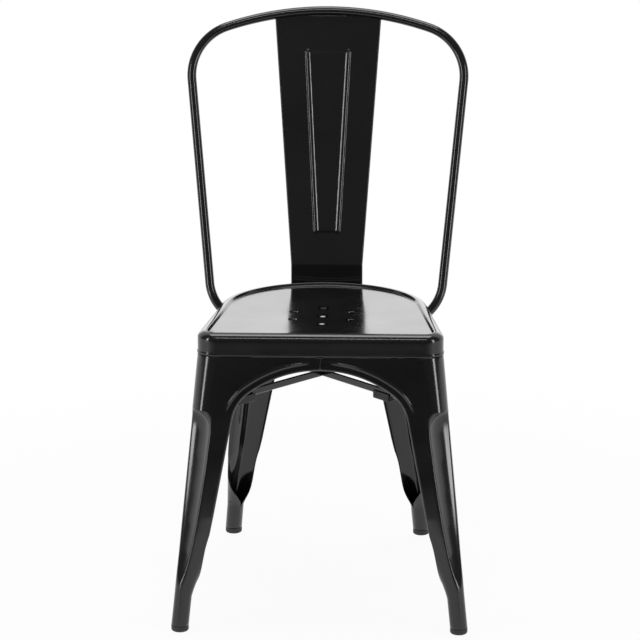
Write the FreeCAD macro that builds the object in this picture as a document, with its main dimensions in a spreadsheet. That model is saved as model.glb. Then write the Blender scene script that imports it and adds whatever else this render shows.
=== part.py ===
import FreeCAD, Part
import math
import os
import Sketcher
from FreeCAD import Placement, Rotation, Vector

# A stacking bistro chair of pressed and welded sheet steel.
# X runs to the right in a front view, Y runs to the back, Z is up. Lengths are millimetres.
# The origin is on the floor, in the middle of the chair's box.

doc = FreeCAD.newDocument("bistro_chair")
sheet = doc.addObject("Spreadsheet::Sheet", "Sizes")

SIZES = [
    ("seat_front_y", -197.0, "front face of the skirt"),
    ("seat_rear_y", 154.0, "rear face of the skirt"),
    ("seat_front_half", 184.5, "half width at the front, before the corner is rounded"),
    ("side_taper", 7.4, "seat sides and feet turn in to the back, degrees"),
    ("seat_corner", 29.0, "radius of the two front corners"),
    ("seat_height", 446.0, "crest of the rim at the front"),
    ("seat_tilt", 2.5, "the seat falls to the back, degrees"),
    ("skirt_depth", 33.0, "rim crest to the lower edge of the skirt"),
    ("rim_radius", 9.5, "outer rounding of the rim"),
    ("rim_width", 16.0, "skirt to the edge of the recessed panel"),
    ("rim_inner_radius", 3.8, "rounding into the recess"),
    ("panel_drop", 5.5, "the flat panel lies this far below the crest"),
    ("hem_height", 3.2, "height of the skirt's hem"),
    ("hem_proud", 0.9, "the hem stands out this far"),
    ("gauge", 1.2, "sheet thickness"),
    ("seam_gap", 0.2, "clearance between welded sheets"),
    ("drain_dia", 8.0, "drain hole"),
    ("drain_ring", 50.0, "radius of the ring of drain holes"),
    ("drain_y", -54.0, "middle of the drain holes"),
    ("front_foot_half", 220.4, "outer face of the front feet from the middle"),
    ("front_foot_y", -251.0, "front face of the front feet"),
    ("rear_foot_y", 210.5, "rear face of the rear feet"),
    ("foot_dia", 26.0, "closed tube at the foot"),
    ("side_seam_y", -14.0, "front and rear legs meet here at the side"),
    ("front_knee_y", -140.0, "the front leg's side wing is straight to here"),
    ("rear_knee_y", 132.0, "and the rear leg's from here"),
    ("shoulder_start", 22.0, "the rear foot's corner opens into this part of the seat's back, degrees"),
    ("shoulder_end", 54.0, "to here, degrees"),
    ("flange_height", 14.0, "leg flange inside the skirt"),
    ("haunch_drop", 126.2, "the straight wing edge ends this far below the rim"),
    ("front_haunch_half", 128.6, "half width of the front arch there"),
    ("side_haunch_half", 125.4, "half width of the side arch there"),
    ("rear_haunch_half", 74.2, "half width of the rear arch there"),
    ("arch_band", 20.5, "band between arch and skirt"),
    ("flare_z", 114.0, "the wing edge turns in to the foot tube here"),
    ("flare_out", 39.2, "front wing edge outside the haunch at that level"),
    ("side_flare_out", 47.5, "the same on the side wings"),
    ("foot_edge_z", 50.0, "the wing edge reaches the foot tube"),
    ("foot_edge_out", 21.0, "further out than at the flare"),
    ("wing_foot_z", 54.0, "the wings end here, on the foot tube"),
    ("front_corner_radius", 62.0, "haunch of the front and side arches"),
    ("rear_corner_radius", 45.0, "haunch of the rear arch"),
    ("lip_depth", 8.0, "turned in edge of the arches"),
    ("bead_offset", 10.5, "bead above the arch edge"),
    ("bead_width", 4.0, "width of the bead"),
    ("bead_height", 1.7, "the bead stands out this far"),
    ("bead_end_drop", 112.0, "the bead runs out this far below the rim"),
    ("bead_gap_half", 27.0, "and leaves the middle of the arch plain"),
    ("tube_open_z", 52.0, "the foot tube opens to the inside here"),
    ("tube_end_z", 112.0, "and ends at the outer corner here"),
    ("flute_axis", 24.5, "flute's axis outside the corner of the front leg"),
    ("flute_deep", 21.5, "flute at its widest, from the sharp corner"),
    ("flute_foot", 13.0, "flute near the foot, from the sharp corner"),
    ("flute_top_drop", 117.0, "upper end of the flute, below the rim"),
    ("flute_bottom_z", 72.0, "lower end of the flute"),
    ("rear_flute_axis", 30.0, "axis outside the corner of the rear leg"),
    ("rear_flute_deep", 6.0, "depth of the rear flute"),
    ("hoop_base_y", 106.0, "the hoop's plane stands here"),
    ("hoop_base_drop", 46.0, "at this depth below the rim"),
    ("hoop_lean", 16.4, "degrees from the vertical"),
    ("hoop_tube", 14.0, "tube diameter"),
    ("hoop_wall", 1.5, "tube wall"),
    ("hoop_rise", 459.3, "middle of the crown above the base, in the plane"),
    ("hoop_crown", 493.0, "radius of the crown"),
    ("hoop_corner", 79.0, "radius of the upper corners"),
    ("hoop_side", 176.3, "half width of the side line at the base"),
    ("hoop_splay", 5.48, "the sides open upwards, degrees"),
    ("hoop_foot_bend", 68.0, "radius of the bend at the hoop's feet"),
    ("hoop_foot_start", 38.0, "height where that bend starts"),
    ("hoop_foot_turn", 72.0, "turn of that bend, degrees"),
    ("hoop_foot_run", 14.0, "straight end of the tube, cut to the leg"),
    ("splat_top_half", 82.3, "half width at the top"),
    ("splat_low_half", 55.5, "half width at the bend"),
    ("splat_face_y", 155.0, "face of the splat behind the skirt"),
    ("splat_low_drop", 47.0, "lower end, below the rim"),
    ("splat_bend_rise", 10.0, "the bend above the rim"),
    ("splat_lean", 11.6, "degrees from the vertical"),
    ("splat_length", 388.0, "from the bend to the crown"),
    ("splat_lip", 5.0, "turned back long edges"),
    ("splat_trim_rise", 392.0, "nothing of the splat stands higher above the rim"),
    ("rib_width", 8.5, "pressed rib"),
    ("rib_height", 2.2, "the rib stands out this far"),
    ("rib_low_half", 17.0, "rib from the middle, lower end"),
    ("rib_high_half", 31.5, "rib from the middle, upper end"),
    ("rib_low", 53.0, "lower end above the bend"),
    ("rib_high", 329.0, "upper end above the bend"),
    ("brace_drop", 112.0, "lower edge of the brace, below the rim"),
    ("brace_height", 12.0, "height of its channel"),
    ("brace_width", 20.0, "width of its channel"),
    ("brace_centre_y", -26.0, "crossing of the two bars"),
    ("brace_angle", 45.3, "bars to the X axis, degrees"),
    ("bumper_length", 34.0, "stacking bumper"),
    ("bumper_width", 25.0, "stacking bumper"),
    ("bumper_drop", 7.0, "bumper below the brace"),
    ("bumper_grip", 5.0, "bumper beside the brace"),
    ("bumper_round", 2.0, "rounded edges"),
    ("front_bumper_back", 83.0, "from the end of the bar to the middle of a front bumper"),
    ("rear_bumper_back", 92.0, "the same for a rear bumper"),
    ("cap_height", 9.0, "foot cap"),
    ("cap_plug", 14.0, "plug inside the foot tube"),
    ("cap_round", 3.0, "rounded lower edge"),
]

for row, (name, value, meaning) in enumerate(SIZES, start=1):
    sheet.set("A%d" % row, meaning)
    sheet.set("B%d" % row, str(value))
    sheet.setAlias("B%d" % row, name)
doc.recompute()

BIG = 700.0
X_AXIS = Vector(1, 0, 0)
Y_AXIS = Vector(0, 1, 0)
Z_AXIS = Vector(0, 0, 1)


def size(name):
    return float(sheet.get(name))


def below_rim(name):
    """Level above the floor of something that hangs from the seat."""
    return size("seat_height") - size(name)


GAUGE = size("gauge")
GAP = size("seam_gap")
FOOT_RADIUS = size("foot_dia") / 2
TAPER = math.radians(size("side_taper"))
HALF_PI = math.pi / 2


def on_circle(centre, radius, angle):
    return Vector(centre.x + radius * math.cos(angle), centre.y + radius * math.sin(angle), 0)


def arc(centre, radius, start, end):
    middle = (start + end) / 2
    return Part.Arc(
        on_circle(centre, radius, start), on_circle(centre, radius, middle), on_circle(centre, radius, end)
    ).toShape()


def line(start, end):
    return Part.LineSegment(start, end).toShape()


class Outline:
    """Half plan: front edge, rounded front corner, tapered side, rounded back."""

    def __init__(self, front_y, rear_y, front_half, corner, inset):
        normal = Vector(math.cos(TAPER), math.sin(TAPER), 0)
        reach = normal.x * front_half + normal.y * front_y
        corner_y = front_y + corner
        corner_x = (reach - corner - normal.y * corner_y) / normal.x
        self.normal = normal
        self.reach = reach - inset
        self.front_y = front_y + inset
        self.corner = Vector(corner_x, corner_y, 0)
        self.corner_radius = corner - inset
        back = (reach - rear_y * normal.y) / (1 - normal.y)
        self.back = Vector(0, rear_y - back, 0)
        self.back_radius = back - inset

    def side(self, y):
        return Vector((self.reach - self.normal.y * y) / self.normal.x, y, 0)


def seat_outline(inset):
    return Outline(size("seat_front_y"), size("seat_rear_y"), size("seat_front_half"), size("seat_corner"), inset)


def seat_placement():
    """The seat turns about its front edge, at the height of the rim."""
    turn = Rotation(X_AXIS, -size("seat_tilt"))
    edge = Vector(0, size("seat_front_y"), 0)
    stand = Vector(0, size("seat_front_y"), size("seat_height"))
    return Placement(stand - turn.multVec(edge), turn)


SEAT = seat_placement()
# The tapered side line passes both feet, so the rear foot's place follows from the front one.
FRONT_FOOT = Vector(size("front_foot_half") - FOOT_RADIUS, size("front_foot_y") + FOOT_RADIUS, 0)
REAR_FOOT_Y = size("rear_foot_y") - FOOT_RADIUS
REAR_FOOT = Vector(FRONT_FOOT.x - math.tan(TAPER) * (REAR_FOOT_Y - FRONT_FOOT.y), REAR_FOOT_Y, 0)

# Bodies and sketches


def plane_of(body, role):
    for feature in body.Origin.OriginFeatures:
        if feature.Role == role:
            return feature
    raise ValueError(role)


def new_body(name):
    return doc.addObject("PartDesign::Body", name)


def new_sketch(body, name, role, lift=None):
    sketch = body.newObject("Sketcher::SketchObject", name)
    sketch.AttachmentSupport = [(plane_of(body, role), "")]
    sketch.MapMode = "FlatFace"
    if lift is not None:
        sketch.setExpression("AttachmentOffset.Base.z", lift)
    return sketch


def bind(sketch, constraint, expression):
    index = sketch.addConstraint(constraint)
    sketch.setExpression("Constraints[%d]" % index, expression)


def pad(body, sketch, length, reverse=False):
    feature = body.newObject("PartDesign::Pad", sketch.Name + "_pad")
    feature.Profile = sketch
    feature.setExpression("Length", length)
    feature.Reversed = reverse
    doc.recompute()
    return feature


def pocket(body, sketch, length, reverse=False):
    feature = body.newObject("PartDesign::Pocket", sketch.Name + "_pocket")
    feature.Profile = sketch
    feature.setExpression("Length", length)
    feature.Reversed = reverse
    doc.recompute()
    return feature


def fillet(body, base, radius, wanted):
    """Round the edges of base for which wanted(edge) is true."""
    names = ["Edge%d" % (i + 1) for i, edge in enumerate(base.Shape.Edges) if wanted(edge)]
    feature = body.newObject("PartDesign::Fillet", base.Name + "_fillet")
    feature.Base = (base, names)
    feature.setExpression("Radius", radius)
    doc.recompute()
    return feature


def circle_sketch(body, name, role, centre, radius, lift=None):
    """A circle whose centre is a pair of plain numbers and whose radius is an expression."""
    sketch = new_sketch(body, name, role, lift)
    sketch.addGeometry(Part.Circle(Vector(centre[0], centre[1], 0), Z_AXIS, 5.0), False)
    sketch.addConstraint(Sketcher.Constraint("DistanceX", -1, 1, 0, 3, centre[0]))
    sketch.addConstraint(Sketcher.Constraint("DistanceY", -1, 1, 0, 3, centre[1]))
    bind(sketch, Sketcher.Constraint("Radius", 0, 5.0), radius)
    return sketch


# The pan of the seat


def outline_sketch(body, name, inset, inset_text, lift=None):
    """The seat's plan: the chain front, corner, side, back, side, corner."""
    plan = seat_outline(inset)
    sketch = new_sketch(body, name, "XY_Plane", lift)
    tangent = TAPER
    corner = plan.corner
    mirrored = Vector(-corner.x, corner.y, 0)
    right_side = [on_circle(corner, plan.corner_radius, tangent), on_circle(plan.back, plan.back_radius, tangent)]
    left_side = [Vector(-p.x, p.y, 0) for p in reversed(right_side)]
    front = [Vector(-corner.x, plan.front_y, 0), Vector(corner.x, plan.front_y, 0)]

    def sketch_arc(centre, radius, start, end):
        return Part.ArcOfCircle(Part.Circle(centre, Z_AXIS, radius), start, end)

    sketch.addGeometry(
        [
            Part.LineSegment(*front),
            sketch_arc(corner, plan.corner_radius, -HALF_PI, tangent),
            Part.LineSegment(*right_side),
            sketch_arc(plan.back, plan.back_radius, tangent, math.pi - tangent),
            Part.LineSegment(*left_side),
            sketch_arc(mirrored, plan.corner_radius, math.pi - tangent, math.pi + HALF_PI),
            Part.Point(Vector(0, plan.back.y + plan.back_radius, 0)),
        ],
        False,
    )
    sketch.toggleConstruction(6)
    for edge in range(6):
        sketch.addConstraint(Sketcher.Constraint("Tangent", edge, 2, (edge + 1) % 6, 1))
    sketch.addConstraint(Sketcher.Constraint("PointOnObject", 3, 3, -2))
    sketch.addConstraint(Sketcher.Constraint("Symmetric", 1, 3, 5, 3, -2))
    sketch.addConstraint(Sketcher.Constraint("Equal", 1, 5))
    sketch.addConstraint(Sketcher.Constraint("PointOnObject", 6, 1, -2))
    sketch.addConstraint(Sketcher.Constraint("PointOnObject", 6, 1, 3))
    bind(
        sketch,
        Sketcher.Constraint("Radius", 1, plan.corner_radius),
        "Sizes.seat_corner - (%s)" % inset_text,
    )
    bind(
        sketch,
        Sketcher.Constraint("DistanceY", 0, 1, -1, 1, -plan.front_y),
        "-Sizes.seat_front_y - (%s)" % inset_text,
    )
    bind(
        sketch,
        Sketcher.Constraint("DistanceY", -1, 1, 6, 1, plan.back.y + plan.back_radius),
        "Sizes.seat_rear_y - (%s)" % inset_text,
    )
    turn = "Sizes.side_taper * 1 deg"
    bind(sketch, Sketcher.Constraint("Angle", 2, HALF_PI + TAPER), "90 deg + " + turn)
    bind(
        sketch,
        Sketcher.Constraint("DistanceX", 5, 3, 1, 3, 2 * corner.x),
        "2 * (Sizes.seat_front_half - Sizes.seat_corner * (tan(%s) + 1 / cos(%s)))" % (turn, turn),
    )
    doc.recompute()
    return sketch


def level_edge(level):
    """True for the edges that lie at one height."""

    def test(edge):
        return all(abs(vertex.Z - level) < 0.01 for vertex in edge.Vertexes)

    return test


def make_seat_pan():
    skin = new_body("pan_skin")
    outer = outline_sketch(skin, "pan_outline", 0.0, "0")
    pad(skin, outer, "Sizes.skirt_depth", reverse=True)
    hem = outline_sketch(skin, "pan_hem", -size("hem_proud"), "-Sizes.hem_proud", "-Sizes.skirt_depth")
    block = pad(skin, hem, "Sizes.hem_height")
    rim = fillet(skin, block, "Sizes.rim_radius", level_edge(0.0))
    recess = outline_sketch(skin, "pan_recess", size("rim_width"), "Sizes.rim_width")
    dish = pocket(skin, recess, "Sizes.panel_drop")
    inner = [size("rim_width"), -size("panel_drop")]

    def recess_edge(edge):
        return level_edge(0.0)(edge) and edge.BoundBox.YMin > size("seat_front_y") + inner[0] - 0.1

    fillet(skin, dish, "Sizes.rim_inner_radius", recess_edge)

    space = new_body("pan_space")
    inside = outline_sketch(space, "space_outline", GAUGE, "Sizes.gauge", "-Sizes.gauge")
    space_pad = pad(space, inside, "Sizes.skirt_depth", reverse=True)
    rounded = fillet(space, space_pad, "Sizes.rim_radius - Sizes.gauge", level_edge(-GAUGE))
    grown = size("rim_width") - GAUGE
    under = outline_sketch(space, "space_recess", grown, "Sizes.rim_width - Sizes.gauge", "-Sizes.gauge")
    space_dish = pocket(space, under, "Sizes.panel_drop")

    def under_edge(edge):
        return level_edge(-GAUGE)(edge) and edge.BoundBox.YMin > size("seat_front_y") + grown - 0.1

    fillet(space, space_dish, "Sizes.rim_inner_radius - Sizes.gauge", under_edge)

    pins = new_body("drain_pins")
    middle = [0.0, size("drain_y")]
    centre = circle_sketch(pins, "drain_middle", "XY_Plane", middle, "Sizes.drain_dia / 2")
    pad(pins, centre, "2 * (Sizes.panel_drop + Sizes.gauge)", reverse=True)
    for turn in range(6):
        angle = math.radians(60 * turn + 30)
        place = [size("drain_ring") * math.cos(angle), size("drain_y") + size("drain_ring") * math.sin(angle)]
        ring = circle_sketch(pins, "drain_%d" % turn, "XY_Plane", place, "Sizes.drain_dia / 2")
        pad(pins, ring, "2 * (Sizes.panel_drop + Sizes.gauge)", reverse=True)

    shell = doc.addObject("Part::Cut", "pan_shell")
    shell.Base = skin
    shell.Tool = space
    pan = doc.addObject("Part::Cut", "seat_pan")
    pan.Base = shell
    pan.Tool = pins
    pan.Label = "seat_pan"
    pan.Placement = SEAT
    doc.recompute()
    return pan


# The pressed legs. Each is one sheet that runs from the foot tube up into two wings.

SKIRT_FOOT = -(size("skirt_depth") + GAP)


def to_seat(shape):
    """Lift a plan drawn on the floor to the skirt's lower edge."""
    lifted = shape.copy()
    lifted.Placement = SEAT.multiply(Placement(Vector(0, 0, SKIRT_FOOT), Rotation()))
    return lifted


def closed_wire(edges, corner):
    """Close an open chain of edges through the given inner corner."""
    first = edges[0].Vertexes[0].Point
    last = edges[-1].Vertexes[-1].Point
    return Part.Wire(edges + [line(last, corner), line(corner, first)])


def floor_seam(inset):
    """Where the line past both feet crosses the side seam, drawn on the floor."""
    seam = size("side_seam_y")
    touch = on_circle(FRONT_FOOT, FOOT_RADIUS - inset, TAPER)
    return Vector(touch.x - math.tan(TAPER) * (seam - touch.y), seam, 0)


def front_block(inset):
    """Everything inside one front leg's outer face, inset by a distance, as a ruled solid."""
    seam = size("side_seam_y")
    plan = seat_outline(inset)
    start = plan.corner + Vector(0, -plan.corner_radius, 0)
    joint = plan.side(size("front_knee_y"))
    top = [
        line(Vector(0, plan.front_y, 0), start),
        arc(plan.corner, plan.corner_radius, -HALF_PI, TAPER),
        line(on_circle(plan.corner, plan.corner_radius, TAPER), joint),
        line(joint, plan.side(seam)),
    ]
    radius = FOOT_RADIUS - inset
    knee = Vector(FRONT_FOOT.x + radius, size("front_knee_y"), 0)
    low = [
        line(Vector(0, FRONT_FOOT.y - radius, 0), Vector(FRONT_FOOT.x, FRONT_FOOT.y - radius, 0)),
        arc(FRONT_FOOT, radius, -HALF_PI, 0),
        line(Vector(FRONT_FOOT.x + radius, FRONT_FOOT.y, 0), knee),
        line(knee, floor_seam(inset)),
    ]
    middle = Vector(0, seam, 0)
    return Part.makeLoft([closed_wire(low, middle), to_seat(closed_wire(top, middle))], True, True)


REAR_SPLITS = [math.radians(size("shoulder_start")), math.radians(size("shoulder_end"))]


def rear_block(inset):
    """The same for a rear leg. Its foot corner opens into the seat's round back."""
    seam = size("side_seam_y")
    plan = seat_outline(inset)
    turns = [TAPER] + REAR_SPLITS + [HALF_PI]
    top = [line(plan.side(seam), on_circle(plan.back, plan.back_radius, TAPER))]
    for start, end in zip(turns, turns[1:]):
        top.append(arc(plan.back, plan.back_radius, start, end))
    radius = FOOT_RADIUS - inset
    knee = Vector(REAR_FOOT.x + radius, size("rear_knee_y"), 0)
    low = [
        line(floor_seam(inset), knee),
        line(knee, Vector(REAR_FOOT.x + radius, REAR_FOOT.y, 0)),
        arc(REAR_FOOT, radius, 0, HALF_PI),
        line(Vector(REAR_FOOT.x, REAR_FOOT.y + radius, 0), Vector(0, REAR_FOOT.y + radius, 0)),
    ]
    middle = Vector(0, seam, 0)
    return Part.makeLoft([closed_wire(low, middle), to_seat(closed_wire(top, middle))], True, True)


def rounded_run(points):
    """Straight runs with tangent arcs. Each point is (x, z, radius)."""
    edges = []
    here = Vector(points[0][0], 0, points[0][1])
    for before, corner, after in zip(points, points[1:], points[2:]):
        at = Vector(corner[0], 0, corner[1])
        back = (Vector(before[0], 0, before[1]) - at).normalize()
        ahead = (Vector(after[0], 0, after[1]) - at).normalize()
        half = back.getAngle(ahead) / 2
        cut = corner[2] / math.tan(half)
        start = at + back * cut
        end = at + ahead * cut
        bisector = (back + ahead).normalize()
        centre = at + bisector * (corner[2] / math.sin(half))
        edges.append(line(here, start))
        edges.append(Part.Arc(start, centre - bisector * corner[2], end).toShape())
        here = end
    edges.append(line(here, Vector(points[-1][0], 0, points[-1][1])))
    return edges


def arch_face(haunch, flare, top, corner):
    """The opening between two legs, in the XZ plane and symmetrical about Z."""
    level = below_rim("haunch_drop")
    splay = math.atan2(flare - haunch, level - size("flare_z"))
    foot = flare + size("foot_edge_out")
    run = rounded_run(
        [
            (foot + 5.0, -60.0, 0),
            (foot, size("foot_edge_z"), 70.0),
            (flare, size("flare_z"), 90.0),
            (haunch, level, 0),
        ]
    )
    centre = Vector(haunch - corner * math.cos(splay), 0, level - corner * math.sin(splay))
    rise = top - centre.z
    crown = (centre.x ** 2 + rise ** 2 - corner ** 2) / (2 * (rise - corner))
    middle = Vector(0, 0, top - crown)
    joint_angle = math.atan2(centre.z - middle.z, centre.x)

    def point(origin, radius, angle):
        return Vector(origin.x + radius * math.cos(angle), 0, origin.z + radius * math.sin(angle))

    joint = point(centre, corner, joint_angle)
    run.append(Part.Arc(Vector(haunch, 0, level), point(centre, corner, (splay + joint_angle) / 2), joint).toShape())
    upper = (joint_angle + HALF_PI) / 2
    run.append(Part.Arc(joint, point(middle, crown, upper), Vector(0, 0, top)).toShape())
    other = [edge.mirror(Vector(), X_AXIS) for edge in run]
    sill = line(Vector(-foot - 5.0, 0, -60.0), Vector(foot + 5.0, 0, -60.0))
    return Part.Face(Part.Wire(Part.__sortEdges__(run + other + [sill])))


def skirt_level(y):
    """Height of the skirt's lower edge above the floor."""
    return SEAT.multVec(Vector(0, y, SKIRT_FOOT)).z


FRONT_ARCH = arch_face(
    size("front_haunch_half"),
    size("front_haunch_half") + size("flare_out"),
    skirt_level(size("seat_front_y")) - size("arch_band"),
    size("front_corner_radius"),
)
SIDE_ARCH = arch_face(
    size("side_haunch_half"),
    size("side_haunch_half") + size("side_flare_out"),
    skirt_level(size("side_seam_y")) - size("arch_band"),
    size("front_corner_radius"),
)
REAR_ARCH = arch_face(
    size("rear_haunch_half"),
    size("rear_haunch_half") + size("flare_out"),
    skirt_level(size("seat_rear_y")) - size("arch_band"),
    size("rear_corner_radius"),
)
SIDE_MIDDLE = (FRONT_FOOT.y + REAR_FOOT.y) / 2


def along_y(face, start, end):
    """Push an XZ face along Y."""
    moved = face.copy()
    moved.translate(Vector(0, start, 0))
    return moved.extrude(Vector(0, end - start, 0))


def along_x(face, start, end):
    """Turn an XZ face to the YZ plane, about the middle of the side arch, and push it along X."""
    moved = face.copy()
    moved.rotate(Vector(), Z_AXIS, 90)
    moved.translate(Vector(start, SIDE_MIDDLE, 0))
    return moved.extrude(Vector(end - start, 0, 0))


def grow(face, distance):
    return Part.Face(face.OuterWire.makeOffset2D(distance, 0, False, False))


def foot_tube(foot, lean, inset, low, high):
    """The closed tube at the foot, as a skewed cylinder that follows the corner."""
    rings = []
    for level in (low, high):
        centre = foot + lean * level
        rings.append(Part.Wire(Part.Circle(centre, Z_AXIS, FOOT_RADIUS - inset).toShape()))
    return Part.makeLoft(rings, True, True)


def half_space(point, normal):
    """A big block on the side of the plane that the normal points to."""
    plane = Part.makePlane(600, 600, point, normal)
    plane.translate(point - plane.CenterOfMass)
    return plane.extrude(normal * 600)


def turned(profile, base, axis):
    """Turn a profile of (radius, height, rounding) about an axis that starts at base."""
    edges = rounded_run(profile)
    low = Vector(0, 0, profile[0][1])
    high = Vector(0, 0, profile[-1][1])
    start = edges[0].Vertexes[0].Point
    end = edges[-1].Vertexes[-1].Point
    chain = [line(low, start)] + edges + [line(end, high), line(high, low)]
    solid = Part.Face(Part.Wire(chain)).revolve(Vector(), Z_AXIS, 360)
    solid.Placement = Placement(base, Rotation(Z_AXIS, axis))
    return solid


def front_flute(grown):
    """The scoop that is pressed into the front leg's corner."""
    reach = size("flute_axis")
    deep = reach + size("flute_deep") + grown
    low = reach + size("flute_foot") + grown
    bottom = size("flute_bottom_z") - grown
    top = below_rim("flute_top_drop") + grown
    return [
        (reach, bottom, 0),
        (low, bottom + 44.0, 90.0),
        (deep, bottom + 185.0, 250.0),
        (deep + 0.5, top - 8.0, 16.0),
        (reach + 6.0, top, 0),
    ]


def rear_flute(grown):
    reach = size("rear_flute_axis")
    deep = reach + size("rear_flute_deep") + grown
    bottom = size("flute_bottom_z") - grown
    top = below_rim("flute_top_drop") + grown
    return [
        (reach - 6.0, bottom, 0),
        (deep - 2.0, bottom + 60.0, 90.0),
        (deep, top - 14.0, 18.0),
        (reach - 8.0, top, 0),
    ]


def full_outline(inset):
    """The seat's whole plan as one wire."""
    plan = seat_outline(inset)
    right = [
        line(Vector(0, plan.front_y, 0), Vector(plan.corner.x, plan.front_y, 0)),
        arc(plan.corner, plan.corner_radius, -HALF_PI, TAPER),
        line(on_circle(plan.corner, plan.corner_radius, TAPER), on_circle(plan.back, plan.back_radius, TAPER)),
        arc(plan.back, plan.back_radius, TAPER, HALF_PI),
    ]
    left = [edge.mirror(Vector(), X_AXIS) for edge in right]
    return Part.Wire(Part.__sortEdges__(right + left))


def collar():
    """The joggled flange that all four legs carry inside the skirt, as one ring."""
    inner = Part.Face(full_outline(2 * GAUGE + GAP))
    flange = Part.Face(full_outline(GAUGE + GAP)).cut(inner)
    shelf = Part.Face(full_outline(0.0)).cut(inner)
    ring = flange.extrude(Z_AXIS * (GAUGE + size("flange_height"))).fuse(shelf.extrude(Z_AXIS * GAUGE))
    ring.Placement = SEAT.multiply(Placement(Vector(0, 0, SKIRT_FOOT - GAUGE), Rotation()))
    return ring


def open_foot(foot, lean, inward, outer):
    """The closed tube at the foot. Its upper end is cut on a slant that opens to the inside."""
    low = size("cap_height")
    high = size("tube_end_z") + FOOT_RADIUS
    tube = foot_tube(foot, lean, 0, low, high).common(outer)
    tube = tube.cut(foot_tube(foot, lean, GAUGE, low - 1.0, high + 1.0))
    level = size("tube_open_z")
    rise = size("tube_end_z") - level
    slant = (inward * rise + Z_AXIS * size("foot_dia")).normalize()
    return tube.cut(half_space(foot + lean * level + inward * FOOT_RADIUS, slant))


def bead(face, push, ends, zone):
    """A pressed bead beside an arch edge. It runs out at the haunches and at the middle."""
    near = push(grow(face, size("bead_offset")), *ends)
    far = push(grow(face, size("bead_offset") + size("bead_width")), *ends)
    limits = Part.makeBox(BIG, 1.0, BIG, Vector(size("bead_gap_half"), 0, below_rim("bead_end_drop")))
    right = push(face_of(limits), *ends)
    left = push(face_of(limits.mirror(Vector(), X_AXIS)), *ends)
    return far.cut(near).common(right.fuse(left)).common(zone)


def face_of(block):
    """The face of a thin block that lies in the XZ plane."""
    return min(block.Faces, key=lambda face: (round(abs(face.CenterOfMass.y), 6), -face.Area))


def pressed_leg(block, foot, lean, inward, arches, flute, quarter):
    """Sheet, turned in lips, beads, foot tube, flange and flute of one right-hand leg."""
    outer = block(0.0)
    skin = outer.cut(block(GAUGE))
    lip_zone = outer.cut(block(size("lip_depth")))
    bead_zone = block(-size("bead_height")).cut(block(GAUGE / 2))
    details = []
    for face, push, ends in arches:
        opening = push(face, *ends)
        skin = skin.cut(opening)
        details.append(push(grow(face, GAUGE), *ends).cut(opening).common(lip_zone))
        details.append(bead(face, push, ends, bead_zone.common(quarter)))
    wings = skin.fuse(details)
    wings = wings.cut(half_space(Z_AXIS * size("wing_foot_z"), -Z_AXIS))
    leg = wings.fuse(open_foot(foot, lean, inward, outer))
    profile, base, axis = flute
    outside = turned(profile(GAUGE), base, axis)
    inside = turned(profile(0.0), base, axis)
    wall = outside.cut(inside).common(outer)
    leg = leg.cut(outside).fuse(wall)
    leg = leg.fuse(collar().common(quarter)).removeSplitter()
    return max(leg.Solids, key=lambda solid: solid.Volume)


PLAN = seat_outline(0.0)
FRONT_INWARD = Vector(-1, 1, 0).normalize()
REAR_INWARD = Vector(-1, -1, 0).normalize()


def lean_between(low, high):
    """Run of a straight line for each millimetre that it rises."""
    return (high - low) * (1.0 / (high.z - low.z))


def front_leg():
    low = Vector(size("front_foot_half"), size("front_foot_y"), 0)
    high = SEAT.multVec(Vector(PLAN.corner.x + PLAN.corner_radius, PLAN.front_y, SKIRT_FOOT))
    lean = lean_between(low, high)
    quarter = Part.makeBox(BIG, BIG, BIG, Vector(0, size("side_seam_y") - BIG, 0))
    arches = [(FRONT_ARCH, along_y, (-320.0, -130.0)), (SIDE_ARCH, along_x, (100.0, 300.0))]
    flute = (front_flute, low - FRONT_INWARD * size("flute_axis"), lean)
    return pressed_leg(front_block, FRONT_FOOT, lean, FRONT_INWARD, arches, flute, quarter)


def rear_leg():
    low = on_circle(REAR_FOOT, FOOT_RADIUS, HALF_PI / 2)
    shoulder = on_circle(PLAN.back, PLAN.back_radius, sum(REAR_SPLITS) / 2)
    lean = lean_between(low, SEAT.multVec(shoulder + Z_AXIS * SKIRT_FOOT))
    quarter = Part.makeBox(BIG, BIG, BIG, Vector(0, size("side_seam_y"), 0))
    arches = [(REAR_ARCH, along_y, (70.0, 320.0)), (SIDE_ARCH, along_x, (90.0, 300.0))]
    flute = (rear_flute, low - REAR_INWARD * size("rear_flute_axis"), lean)
    return pressed_leg(rear_block, REAR_FOOT, lean, REAR_INWARD, arches, flute, quarter)


def add_shape(name, shape):
    feature = doc.addObject("Part::Feature", name)
    feature.Shape = shape
    feature.Label = name
    return feature


def make_legs():
    """Two pressings, each with its mirror image."""
    legs = {}
    for end, make in (("front", front_leg), ("rear", rear_leg)):
        right = make()
        for side, shape in (("right", right), ("left", right.mirror(Vector(), X_AXIS))):
            name = "%s_%s_leg" % (end, side)
            legs[name] = add_shape(name, shape)
    return legs


def leg_spaces(inset):
    """The space inside all four legs, inset from their outer faces."""
    blocks = []
    for block in (front_block(inset), rear_block(inset)):
        blocks += [block, block.mirror(Vector(), X_AXIS)]
    return blocks[0].fuse(blocks[1:]).removeSplitter()


# The back


def hoop_plane():
    base = Vector(0, size("hoop_base_y"), below_rim("hoop_base_drop"))
    return Placement(base, Rotation(X_AXIS, -size("hoop_lean")))


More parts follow.
